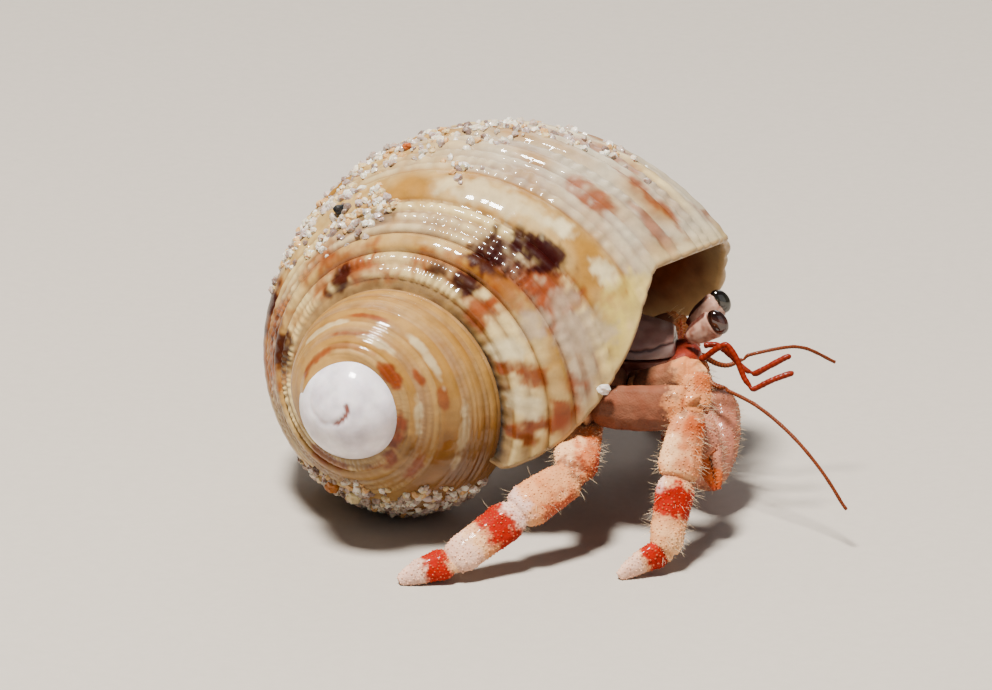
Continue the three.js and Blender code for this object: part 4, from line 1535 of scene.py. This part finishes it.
def bristle(name: str, thickness: float, bend: float) -> Piece:
    """One hair a millimetre long for strewing, curved and tapered.

    Args:
        name: Its name.
        thickness: Half its width at the root.
        bend: How far its tip leans.

    Returns:
        The object.
    """
    along = np.array([0.0, 0.35, 0.7])
    around = circle(4)
    rows = []
    for at in along:
        radius = thickness * (1.0 - 0.6 * at)
        across = radius * np.cos(around) + bend * at ** 2
        rows.append(np.stack([across, radius * np.sin(around), np.full_like(around, at)], -1))
    points = np.concatenate([*rows, [[0.0, 0.0, -0.02], [bend, 0.0, 1.0]]])
    piece = Skin(points, grid_faces(3, 4, True) + pole_faces(3, 4)).build(name)
    turn_outwards(piece)
    return piece


def grain(name: str, seed: float, stretch: Sequence[float] = (1.0, 0.8, 0.7)) -> Piece:
    """One grain of coral sand for strewing: a lump with blunt corners.

    Args:
        name: Its name.
        seed: Picks its shape.
        stretch: Its three half sizes.

    Returns:
        The object.
    """
    lump = bmesh.new()
    bmesh.ops.create_icosphere(lump, subdivisions=2, radius=1.0)
    for vert in lump.verts:
        push = 1.0 + 0.55 * noise.noise(vert.co * 1.3 + Vector((seed, seed * 2.0, 1.0)))
        vert.co = Vector([c * push * s * MM for c, s in zip(vert.co, stretch)])
    mesh = bpy.data.meshes.new(name)
    lump.to_mesh(mesh)
    lump.free()
    return new_object(name, mesh)


class Stock:
    """The small shapes that are strewn. They are removed once everything is made."""

    def __init__(self) -> None:
        """Makes each shape once."""
        self.granule = ball("stock_granule", 5, 6, 0.85)
        self.bristle = bristle("stock_bristle", 0.012, 0.22)
        self.grains = [grain("stock_grain_" + str(n), 3.1 * n + 0.7) for n in range(3)]

    def clear(self) -> None:
        """Removes the shapes."""
        for shape in (self.granule, self.bristle, *self.grains):
            bpy.data.objects.remove(shape)


def bake_map(piece: Piece, per_shape: int, patch: float = BAKE_PATCH) -> None:
    """Gives strewn shapes their OFBake map: a small patch for each shape, at its root on the skin's unwrap.

    Args:
        piece: The shapes as one mesh, with the root_u and root_v marks.
        per_shape: How many points each shape has.
        patch: How wide each patch is.
    """
    layer = piece.data.uv_layers.new(name="OFBake")
    root_u, root_v = mark_of(piece, "root_u"), mark_of(piece, "root_v")
    corners = read_indices(piece.data.loops, "vertex_index", 1)[:, 0]
    part = np.arange(len(piece.data.vertices)) % per_shape
    across = math.ceil(math.sqrt(per_shape))
    first = np.arange(len(part)) - part
    u = root_u[first] + patch * (part % across) / across
    v = root_v[first] + patch * (part // across) / across
    layer.data.foreach_set("uv", np.stack([u[corners], v[corners]], -1).astype(np.float32).ravel())


@dataclass
class Limb:
    """A jointed limb: one skin over its segments, granules on it and hairs along its edges."""

    name: str
    nodes: tuple[str, ...]
    bands: tuple[Band, ...]
    slot: str
    stock: Stock
    base: int = BONE
    hair_density: float = 15.0
    hair_size: tuple[float, float] = (0.2, 0.9)
    bare_segments: tuple[int, ...] = (0,)
    bare_until: float = 0.5
    granule_density: float = 26.0
    granule_spacing: float = 0.19
    granule_size: tuple[float, float] = (0.04, 0.085)
    hair_spacing: float = 0.12
    voxel: float = 0.1
    cuff: float = 0.14

    def build(self) -> None:
        """Makes the skin, its granules and its hairs."""
        skin = Wrap(self.voxel).build(self.name, self.nodes)
        points, normals = mesh_points(skin), point_normals(skin)
        line = Line.through(self.nodes)
        segment, share, ways = line.locate(points)
        self._shape(skin, points, normals, segment, share)
        points, normals = mesh_points(skin), point_normals(skin)
        set_coat(skin, banded(points, normals, line, self.bands, self.base))
        skin.data.materials.append(LIMB_FINISH.material())
        rough = self._rough(segment, share)
        self._unwrap(skin, normals, segment, share, ways)
        hand_over(skin, self.slot, *self.nodes)
        self._granules(skin, normals, rough)
        self._hairs(skin, normals, ways, rough)

    def _shape(self, skin: Piece, points: Array, normals: Array, segment: Array, share: Array) -> None:
        """Flares the far ends of the segments into cuffs and pinches the joints behind them.

        Args:
            skin: The skin.
            points: Its points.
            normals: Their normals.
            segment: The segment of each point.
            share: Where it is along that segment.
        """
        jointed = segment < len(self.nodes) - 1
        cuff = smooth(0.55, 0.9, share) * (1.0 - smooth(0.96, 1.02, share)) * jointed
        root = smooth(0.02, 0.12, share) * (1.0 - smooth(0.15, 0.4, share)) * (segment > 0)
        pinch = np.exp(-(share / 0.03) ** 2) * (segment > 0)
        pinch = pinch + np.exp(-((share - 1.0) / 0.03) ** 2) * jointed
        low = mottle(points, 0.5, 41.0)
        stout = 0.42 * (segment == 0) * (len(self.nodes) > 3)
        lift = 0.02 * low + self.cuff * cuff + 0.6 * self.cuff * root - 0.1 * pinch + stout
        set_points(skin, points + normals * lift[:, None])
        keep_above_floor(skin)

    def _rough(self, segment: Array, share: Array) -> Array:
        """How rough the skin is: the smooth inner segments have neither granules nor hairs.

        Args:
            segment: The segment of each point.
            share: Where it is along that segment.

        Returns:
            How rough, from 0 to 1.
        """
        bare = np.isin(segment, self.bare_segments)
        upper = (segment == 1) & (len(self.nodes) > 3)
        rough = np.where(upper, smooth(self.bare_until - 0.06, self.bare_until + 0.06, share), 1.0)
        return np.where(bare, 0.0, rough)

    def _unwrap(self, skin: Piece, normals: Array, segment: Array, share: Array, ways: Array) -> None:
        """Marks every point with its place on the skin's unwrap: along the limb, and round it.

        Args:
            skin: The skin.
            normals: The normals at its points.
            segment: The segment of each point.
            share: Where it is along that segment.
            ways: The segment's direction.
        """
        count = len(self.nodes)
        side = unit(np.cross(ways, [0.0, 0.0, 1.0]))
        up = np.cross(side, ways)
        turn = np.arctan2((normals * up).sum(1), (normals * side).sum(1)) / (2.0 * math.pi) + 0.5
        set_mark(skin, "root_u", 0.996 * (segment + np.clip(share, 0.0, 1.0)) / count)
        set_mark(skin, "root_v", 0.996 * turn)

    def _granules(self, skin: Piece, normals: Array, rough: Array) -> None:
        """The pale granules.

        Args:
            skin: The skin.
            normals: The normals at its points.
            rough: How thickly they stand there.
        """
        comb(skin, normals)
        set_mark(skin, "strew", rough)
        piece = Scatter(self.name + "_granules", self.stock.granule, LIMB_FINISH, self.granule_density,
                        self.granule_spacing, self.granule_size, 7, 0.2).build(skin)
        bake_map(piece, POINTS_OF_GRANULE)
        under = coat_of(piece)
        set_coat(piece, paint(under, 0xE8B890, np.full(len(under), 0.22)))
        keep_above_floor(piece)
        hand_over(piece, self.slot)

    def _hairs(self, skin: Piece, normals: Array, ways: Array, rough: Array) -> None:
        """The pale hairs, which lean towards the limb's tip.

        Args:
            skin: The skin.
            normals: The normals at its points.
            ways: The direction of the limb there.
            rough: How thickly they stand there.
        """
        edge = smooth(0.4, 0.85, np.abs(normals @ unit(np.array(HAIRY_SIDE))))
        comb(skin, unit(normals + 0.45 * ways))
        clear = smooth(0.5, 1.4, mesh_points(skin)[:, 2])
        set_mark(skin, "strew", rough * clear * (0.03 + 0.97 * edge))
        piece = Scatter(self.name + "_hairs", self.stock.bristle, HAIR_FINISH, self.hair_density,
                        self.hair_spacing, self.hair_size, 23, 0.5).build(skin)
        bake_map(piece, POINTS_OF_BRISTLE)
        keep_above_floor(piece)
        hand_over(piece, self.slot)


def plain_skin(name: str, nodes: Sequence[str], slot: str, finish: Finish, base: int, second: int,
               wrap: Wrap = Wrap()) -> Piece:
    """A mottled skin in two colours round some solids, handed over.

    Args:
        name: The piece's name.
        nodes: The solids that it stands for.
        slot: The record's material slot.
        finish: What it is finished in.
        base: Its main colour.
        second: The colour of its mottling.
        wrap: How it is wrapped.

    Returns:
        The piece.
    """
    piece = wrap.build(name, nodes)
    points = mesh_points(piece)
    colours = plain_coat(base, len(points))
    set_coat(piece, paint(colours, second, np.clip(0.3 + 0.6 * mottle(points, 1.2, 6.0), 0.0, 0.9)))
    piece.data.materials.append(finish.material())
    return hand_over(piece, slot, *nodes)


# ---------------------------------------------------------------- head and body


CORNEA_COLOURS = {"right": 0x78584C, "left": 0x5C5C4E}


@dataclass
class Eye:
    """One eye: a pale flattened stalk with a brown foot, and a dark oval cornea on its end."""

    side: str
    cornea_colour: int

    def build(self) -> None:
        """Makes the stalk and the cornea."""
        self._cornea()
        self._stalk()

    def _cornea(self) -> None:
        """A smooth oval fitted to the solid cornea."""
        node = "eye_" + self.side
        points = solid_points(node)
        middle = (points.min(0) + points.max(0)) / 2.0
        _, _, axes = np.linalg.svd(points - points.mean(0), full_matrices=False)
        half = np.abs((points - middle) @ axes.T).max(0)
        own, faces = sphere(32, 48)
        own = own[:, [2, 0, 1]]
        placed = middle + (own * half) @ axes
        haze = mottle(placed, 0.35, 3.0)
        colours = plain_coat(self.cornea_colour, len(placed))
        colours = paint(colours, 0x4A2E26, np.clip(0.3 + 0.5 * haze, 0.0, 0.8))
        upper = smooth(0.1, 0.7, (placed[:, 2] - middle[2]) / half[0])
        colours = paint(colours, 0x2A1A16, 0.8 * upper)
        piece = Skin(placed, faces, colours).build("cornea_" + self.side)
        turn_outwards(piece)
        piece.data.materials.append(CORNEA_FINISH.material())
        hand_over(piece, "cornea", node)

    def _stalk(self) -> None:
        """The stalk: pearly, with a brown foot and a brown ridge along its top."""
        node = "eyestalk_" + self.side
        piece = Wrap(0.07, 0.04, 8).build(node + "_skin", (node,))
        points, normals = mesh_points(piece), point_normals(piece)
        tip = joint_between("eye_" + self.side, node)
        line = Line(np.array([far_end(node, tip), tip]))
        _, share, _ = line.locate(points)
        slim = 0.05 * smooth(0.7, 0.95, share) - 0.42 * np.clip(1.0 - share / 0.55, 0.0, 1.0) ** 1.6
        set_points(piece, points + normals * slim[:, None])
        cloud = mottle(points, 0.5, 8.0)
        colours = plain_coat(0xD4B8AA, len(points))
        colours = paint(colours, 0xB08878, np.clip(0.15 + 0.7 * cloud, 0.0, 0.85))
        colours = paint(colours, 0x9C4A30, 0.95 * (1.0 - smooth(0.1, 0.24, share + 0.03 * cloud)))
        ridge = smooth(0.72, 0.92, normals @ unit(np.array([-0.72, -0.2, 0.66])))
        colours = paint(colours, 0x6A3028, 0.85 * ridge)
        set_coat(piece, colours)
        piece.data.materials.append(STALK_FINISH.material())
        hand_over(piece, "eyestalk", node)


@dataclass
class Feeler:
    """A feeler made of a stem and a whip: a tapered tube with fine rings."""

    name: str
    nodes: tuple[str, ...]
    ring_every: float
    colour: int
    second: int
    ring_rise: float = 0.12
    slimness: float = 0.6

    def build(self) -> None:
        """Makes one ringed tube along the solids and hands it over."""
        centres, radii = self._spine()
        steps = np.concatenate([[0.0], np.cumsum(np.linalg.norm(np.diff(centres, axis=0), axis=1))])
        fine = np.arange(0.0, steps[-1], self.ring_every / 5.0)
        path = np.stack([np.interp(fine, steps, centres[:, axis]) for axis in range(3)], -1)
        for _ in range(10):
            path[1:-1] = 0.25 * path[:-2] + 0.5 * path[1:-1] + 0.25 * path[2:]
        size = np.interp(fine, steps, radii) * self.slimness
        wave = 0.5 + 0.5 * np.cos(2.0 * math.pi * fine / self.ring_every)
        size = size * (1.0 - self.ring_rise * wave)
        size[0], size[-1] = size[0] * 0.6, size[-1] * 0.5
        sides = 12
        way = unit(np.gradient(path, axis=0))
        side = unit(np.cross(way, [0.0, 1.0, 0.05]))
        up = np.cross(way, side)
        around = circle(sides)
        ring = side[:, None] * np.cos(around)[None, :, None] + up[:, None] * np.sin(around)[None, :, None]
        rows = path[:, None] + ring * size[:, None, None]
        flat = np.concatenate([rows.reshape(-1, 3), path[:1], path[-1:]])
        faces = grid_faces(len(path), sides, True) + pole_faces(len(path), sides)
        rings = np.concatenate([np.repeat(wave, sides), [0.5, 0.5]])
        base = plain_coat(self.colour, len(flat))
        colours = paint(base, self.second, 0.75 * rings)
        flat[:, 2] = np.maximum(flat[:, 2], 0.0)
        piece = Skin(flat, faces, colours).build(self.name)
        turn_outwards(piece)
        piece.data.materials.append(FEELER_FINISH.material())
        hand_over(piece, "feeler", *self.nodes)

    def _spine(self) -> tuple[Array, Array]:
        """The middle line and the thickness, from slices of the solids square to the x axis.

        Returns:
            The middles of the slices and their half widths.
        """
        slices = [cut for node in self.nodes for cut in slices_along_x(node)]
        slices.sort(key=lambda cut: cut[0][0])
        return np.array([cut[0] for cut in slices]), np.array([cut[1] for cut in slices])


def slices_along_x(node: str, count: int = 28) -> list[tuple[Array, float]]:
    """Slices of a slender solid square to the x axis.

    Args:
        node: The solid.
        count: How many slices are cut.

    Returns:
        The middle of each slice and half its smaller width, in millimetres.
    """
    mesh = solid_mesh((node,))
    points = read_rows(mesh.vertices, "co", 3)
    pairs = read_indices(mesh.edges, "vertices", 2)
    a, b = points[pairs[:, 0]], points[pairs[:, 1]]
    low, high = points[:, 0].min(), points[:, 0].max()
    cuts = []
    for level in np.linspace(low, high, count + 2)[1:-1]:
        crossing = (a[:, 0] - level) * (b[:, 0] - level) < 0.0
        share = (level - a[crossing, 0]) / (b[crossing, 0] - a[crossing, 0])
        ring = a[crossing] + share[:, None] * (b[crossing] - a[crossing])
        middle = (ring.min(0) + ring.max(0)) / 2.0
        widths = np.linalg.svd(ring - middle, compute_uv=False) / math.sqrt(len(ring))
        cuts.append((middle, float(widths[1] * math.sqrt(2.0))))
    return cuts


class Body:
    """The crab's body: shield, chest, soft tail, mouthparts and the small hind legs."""

    def build(self) -> None:
        """Makes each part of the body."""
        self._shield()
        self._trunk()
        for side in ("right", "left"):
            plain_skin("mouthpart_skin_" + side, ("mouthpart_" + side,), "carapace", LIMB_FINISH, 0xE6B8A0,
                       0xC0603A, Wrap(0.08, 0.05, 8))
            for pair in ("leg4_", "leg5_"):
                plain_skin(pair + "skin_" + side, (pair + side,), "leg", LIMB_FINISH, 0xE8CDB8, 0xD08A66,
                           Wrap(0.08, 0.05, 8))

    def _shield(self) -> None:
        """The hard shield on the crab's back, with its groove, its bright front edge and a painted highlight
        near the front of its top.
        """
        piece = plain_skin("shield", ("carapace_shield",), "carapace", PLATE_FINISH, 0xB89890, 0xCDB4AC,
                           Wrap(0.08, 0.05, 60))
        points, normals, colours = mesh_points(piece), point_normals(piece), coat_of(piece)
        low, high = points.min(0), points.max(0)
        ahead, _, up = ((points - low) / (high - low)).T
        wave = 0.03 * mottle(points, 0.8, 15.0)
        line = np.exp(-((up - 0.2 - 0.2 * ahead + wave) / 0.035) ** 2)
        colours = paint(colours, 0xC8B8B4, 0.7 * (1.0 - smooth(0.16, 0.2, up - 0.2 * ahead)))
        colours = paint(colours, 0x6A3424, 0.9 * line)
        front = smooth(0.93, 0.985, ahead + wave)
        colours = paint(colours, 0x8E4426, 0.85 * front)
        # Painted highlight: a white glint near the front of the shield's top.
        saddle_highlight = smooth(0.8, 0.9, ahead) * smooth(0.62, 0.8, up)
        colours = paint(colours, 0xF2EAE6, 0.95 * saddle_highlight)
        set_coat(piece, colours)
        set_points(piece, points - normals * (0.07 * line)[:, None])

    def _trunk(self) -> None:
        """The chest, head front and soft tail as one skin: mauve, and warm round the mouth."""
        nodes = ("chest", "carapace_rear", "head_front", "abdomen_front", "abdomen_middle", "abdomen_tip")
        piece = plain_skin("body_skin", nodes, "abdomen", SOFT_FINISH, 0x9C6656, 0xB4887A,
                           Wrap(0.12, 0.3, 16))
        points, colours = mesh_points(piece), coat_of(piece)
        front = np.array(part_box("head_front")) / MM
        cloud = mottle(points, 0.7, 22.0)
        ahead = smooth(front[0][0] - 0.6, front[0][0] + 0.5, points[:, 0] + 0.3 * cloud)
        colours = paint(colours, 0xCE9678, ahead * np.clip(0.7 + 0.5 * cloud, 0.2, 1.0))
        high = ahead * smooth(front[1][2] - 0.9, front[1][2] - 0.3, points[:, 2] + 0.2 * cloud)
        set_coat(piece, paint(colours, 0xA2462A, 0.9 * high))


@dataclass
class Crab:
    """The whole crab."""

    stock: Stock

    def build(self) -> None:
        """Makes the body, the limbs and the head."""
        Body().build()
        for side in ("right", "left"):
            self._walking(side)
            self._claw(side)
            Eye(side, CORNEA_COLOURS[side]).build()
            Feeler("antennule_ringed_" + side, ("antennule_stem_" + side, "antennule_whip_" + side), 0.3,
                   0x964428, 0xA65634, 0.05, 0.7).build()
            Feeler("antenna_ringed_" + side, ("antenna_stem_" + side, "antenna_whip_" + side), 0.2,
                   0xA06A48, 0x74402E, 0.14, 0.5).build()

    def _walking(self, side: str) -> None:
        """The two pairs of walking legs on one side.

        Args:
            side: Right or left.
        """
        for pair, bands, bare in (("leg2_", WALKING_BANDS, 0.82), ("leg3_", REAR_BANDS, 0.4)):
            parts = ("_base", "_merus", "_carpus", "_propodus", "_dactyl")
            nodes = tuple(pair + side + part for part in parts)
            Limb(pair + side + "_skin", nodes, bands, "leg", self.stock, bare_until=bare).build()

    def _claw(self, side: str) -> None:
        """A claw: the arm, the palm and the moving finger, each its own piece.

        Args:
            side: Right or left.
        """
        stem = "cheliped_" + side
        arm = tuple(stem + part for part in ("_base", "_merus", "_carpus"))
        Limb(stem + "_arm_skin", arm, ARM_BANDS, "claw", self.stock, bare_segments=(0, 1), bare_until=2.0,
             hair_size=(0.3, 0.8)).build()
        for part in ("_palm", "_finger"):
            Limb(stem + part + "_skin", (stem + part,), PALM_BANDS, "claw", self.stock, bare_segments=(),
                 hair_size=(0.25, 0.7), base=0xBC8260).build()


# ---------------------------------------------------------------- sand


DRIFTS = (
    Drift(-0.34, -8.0, 0.045, 13.0, 1.0), Drift(-0.40, 8.0, 0.06, 16.0, 0.8),
    Drift(-0.34, 24.0, 0.07, 12.0, 0.75), Drift(-0.28, 36.0, 0.06, 14.0, 0.7),
    Drift(-0.26, 10.0, 0.03, 10.0, 0.25), Drift(-0.22, 52.0, 0.05, 14.0, 0.4),
)

SAND_TONES = (
    0xDCD4C8, 0xCFC6BA, 0xE6DFD2, 0xC6BAB0, 0xD8C8A8, 0xCBC0BC, 0xE9E4DC, 0xBFB2AA, 0xD8BC92, 0xA4948C,
)


@dataclass(frozen=True)
class LoneGrain:
    """One grain that stands out, at a turn and an angle, with its half size and colour."""

    turn: float
    angle: float
    size: float
    colour: int


LONE_GRAINS = (
    LoneGrain(-0.312, 23.0, 0.3, 0xC88A50), LoneGrain(-0.716, -7.0, 0.5, 0xC89858),
    LoneGrain(-0.352, -3.0, 0.42, 0x2E2A2E), LoneGrain(-0.034, -12.0, 0.44, 0xE2DCD6),
    LoneGrain(-0.75, -4.0, 0.5, 0xE4D8B8),
)


@dataclass
class StuckSand:
    """The coral sand that clings to the wet shell."""

    shell: TurbanShell
    stock: Stock
    floor_reach: float = 4.4
    density: float = 2.6
    spacing: float = 0.34
    grain_size: tuple[float, float] = (0.15, 0.38)
    tumble: float = 1.2
    lone_lift: float = 0.25
    blunt_corner: float = 24.0

    def build(self) -> None:
        """Strews the grains, adds the lone ones and joins them into one piece."""
        heaps = []
        for index, shape in enumerate(self.stock.grains):
            for host in self.shell.pieces[:3]:
                heaps.append(self._heap(host, shape, index))
        joined = Skin(*self._joined(heaps)).build("stuck_sand")
        keep_above_floor(joined)
        joined.data.set_sharp_from_angle(angle=math.radians(self.blunt_corner))
        joined.data.materials.append(SAND_FINISH.material())
        grain_of = np.arange(len(joined.data.vertices)) // POINTS_OF_GRAIN
        side = math.ceil(math.sqrt(grain_of[-1] + 1))
        set_mark(joined, "root_u", (grain_of % side + 0.1) / side)
        set_mark(joined, "root_v", (grain_of // side + 0.1) / side)
        bake_map(joined, POINTS_OF_GRAIN, 0.8 / side)
        for heap in heaps:
            bpy.data.objects.remove(heap)
        hand_over(joined, "shell")

    def _heap(self, host: Piece, shape: Piece, index: int) -> Piece:
        """Grains of one shape on one piece of the shell.

        Args:
            host: The piece of the shell.
            shape: The grain.
            index: Which of the shapes it is.

        Returns:
            The grains.
        """
        points, normals = mesh_points(host), point_normals(host)
        turn, angle = mark_of(host, "turn"), mark_of(host, "angle")
        cloud = mottle(points, 1.6, 50.0)
        outside = (angle < 170.0) & (turn < self.shell.lip.turn(angle) - 0.02)
        low = 1.0 - smooth(self.floor_reach - 1.8, self.floor_reach, points[:, 2] - 0.7 * cloud)
        front = smooth(-3.0, 1.0, -points[:, 1] + points[:, 1].mean())
        mask = np.maximum(low * (0.25 + 0.75 * front), self._drifts(turn, angle, cloud))
        strew = np.where(outside & self._is_outer(host, len(turn)), mask, 0.0)
        comb(host, normals)
        set_mark(host, "strew", strew)
        name = host.name + "_sand_" + str(index)
        return Scatter(name, shape, SAND_FINISH, self.density, self.spacing, self.grain_size,
                       31 + 7 * index, self.tumble).build(host)

    def _is_outer(self, host: Piece, count: int) -> Array:
        """Which points of a piece are on its outer surface: the first rows, before the lip's rim.

        Args:
            host: The piece of the shell.
            count: How many points it has.

        Returns:
            True for each outer point.
        """
        rows = len(self.shell.angles())
        outer = int(host.get("outer_columns", 0)) * rows
        return np.arange(count) < outer

    def _drifts(self, turn: Array, angle: Array, cloud: Array) -> Array:
        """How thick the sand of the named drifts lies at each point.

        Args:
            turn: The turn of each point.
            angle: Its angle.
            cloud: A noise that breaks up the edges.

        Returns:
            How thick, from 0 to 1.
        """
        mask = np.zeros_like(turn)
        for drift in DRIFTS:
            far = ellipse(drift, turn, angle)
            mask = np.maximum(mask, drift.strength * (1.0 - smooth(0.3, 1.3, far + 0.7 * cloud)))
        return mask

    def _joined(self, heaps: list[Piece]) -> tuple[Array, list, Array]:
        """All the grains as one mesh, each with a colour of its own.

        Args:
            heaps: The grains on each piece of the shell.

        Returns:
            The points, the faces and the colours.
        """
        points, faces, colours = [], [], []
        dice = np.random.default_rng(11)
        tones = np.array([tone(colour) for colour in SAND_TONES])
        start = 0
        for heap in heaps:
            rows = mesh_points(heap)
            grains = max(len(rows) // POINTS_OF_GRAIN, 1)
            chosen = tones[dice.integers(0, len(tones), grains)]
            points.append(rows)
            faces.extend(tuple(v + start for v in face.vertices) for face in heap.data.polygons)
            colours.append(np.repeat(chosen, POINTS_OF_GRAIN, 0)[: len(rows)])
            start += len(rows)
        lump = self.stock.grains[-1]
        for lone in LONE_GRAINS:
            rows = mesh_points(lump) * lone.size
            place = (np.array([number]) for number in (lone.turn, lone.angle, -self.lone_lift))
            seat = self.shell.coil.points(*place)[0]
            points.append(rows + seat)
            faces.extend(tuple(v + start for v in face.vertices) for face in lump.data.polygons)
            colours.append(plain_coat(lone.colour, len(rows)))
            start += len(rows)
        return np.concatenate(points), faces, np.concatenate(colours)


# ---------------------------------------------------------------- stage


@dataclass(frozen=True)
class Stage:
    """The pale floor, the studio lights and the camera."""

    look_at_from_shell: tuple[float, float, float] = (14.95, 8.72, 11.62)
    distance: float = 450.0
    elevation: float = 20.0
    lens: float = 256.4

    def build(self) -> None:
        """Makes the floor, the lights and the camera."""
        target = np.array(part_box("shell")[0]) / MM + np.array(self.look_at_from_shell)
        self._floor()
        self._camera(target)
        self._light("key", target, (-70.0, -110.0, 400.0), 0.075, 6.6, (1.0, 0.97, 0.92))
        self._light("fill", target, (260.0, -300.0, 160.0), 0.40, 0.3, (0.92, 0.96, 1.0))
        self._light("rim", target, (60.0, 320.0, 260.0), 0.25, 0.5, (1.0, 1.0, 1.0))
        world = bpy.data.worlds.new("studio")
        world.use_nodes = True
        world.node_tree.nodes["Background"].inputs["Color"].default_value = (0.86, 0.9, 1.0, 1.0)
        world.node_tree.nodes["Background"].inputs["Strength"].default_value = 0.11
        bpy.context.scene.world = world

    def _floor(self) -> None:
        """A broad pale floor just below what stands on it."""
        half = 1.5
        mesh = bpy.data.meshes.new("floor")
        level = -0.02 * MM
        mesh.from_pydata([(-half, -half, level), (half, -half, level), (half, half, level),
                          (-half, half, level)], [], [(0, 1, 2, 3)])
        floor = new_object("floor", mesh)
        floor_finish = Finish("pale_floor", 0.8, colour=0xB0A79C, relief=Bump.PLAIN, mottled=0.15)
        mesh.materials.append(floor_finish.material())

    def _camera(self, target: Array) -> None:
        """The camera, a long way off with a long lens.

        Args:
            target: What it looks at, in millimetres.
        """
        data = bpy.data.cameras.new("camera")
        data.lens = self.lens
        data.sensor_width = 36.0
        data.clip_start = 0.01
        camera = new_object("camera", data)
        lift = math.radians(self.elevation)
        away = np.array([0.0, -math.cos(lift), math.sin(lift)]) * self.distance
        camera.location = Vector((target + away) * MM)
        camera.rotation_euler = Euler((math.radians(90.0) - lift, 0.0, 0.0))
        bpy.context.scene.camera = camera

    def _light(self, name: str, target: Array, offset: Sequence[float], size: float, power: float,
               colour: tuple[float, float, float]) -> None:
        """A square lamp aimed at the target; offset is in millimetres and size in metres.

        Args:
            name: Its name.
            target: What it lights, in millimetres.
            offset: Where it stands from there, in millimetres.
            size: How wide it is, in metres.
            power: Its power, in watts.
            colour: Its colour.
        """
        data = bpy.data.lights.new(name, "AREA")
        data.size = size
        data.energy = power
        data.color = colour
        lamp = new_object(name, data)
        lamp.location = Vector((target + np.array(offset)) * MM)
        lamp.rotation_euler = (-Vector(offset)).to_track_quat("-Z", "Y").to_euler()


# ---------------------------------------------------------------- the whole


def main() -> None:
    """Makes the whole scene."""
    logging.basicConfig(level=logging.INFO, format="%(message)s")
    Stage().build()
    shell = TurbanShell()
    shell.build()
    stock = Stock()
    StuckSand(shell, stock).build()
    Crab(stock).build()
    stock.clear()


if __name__ == "__main__":
    main()
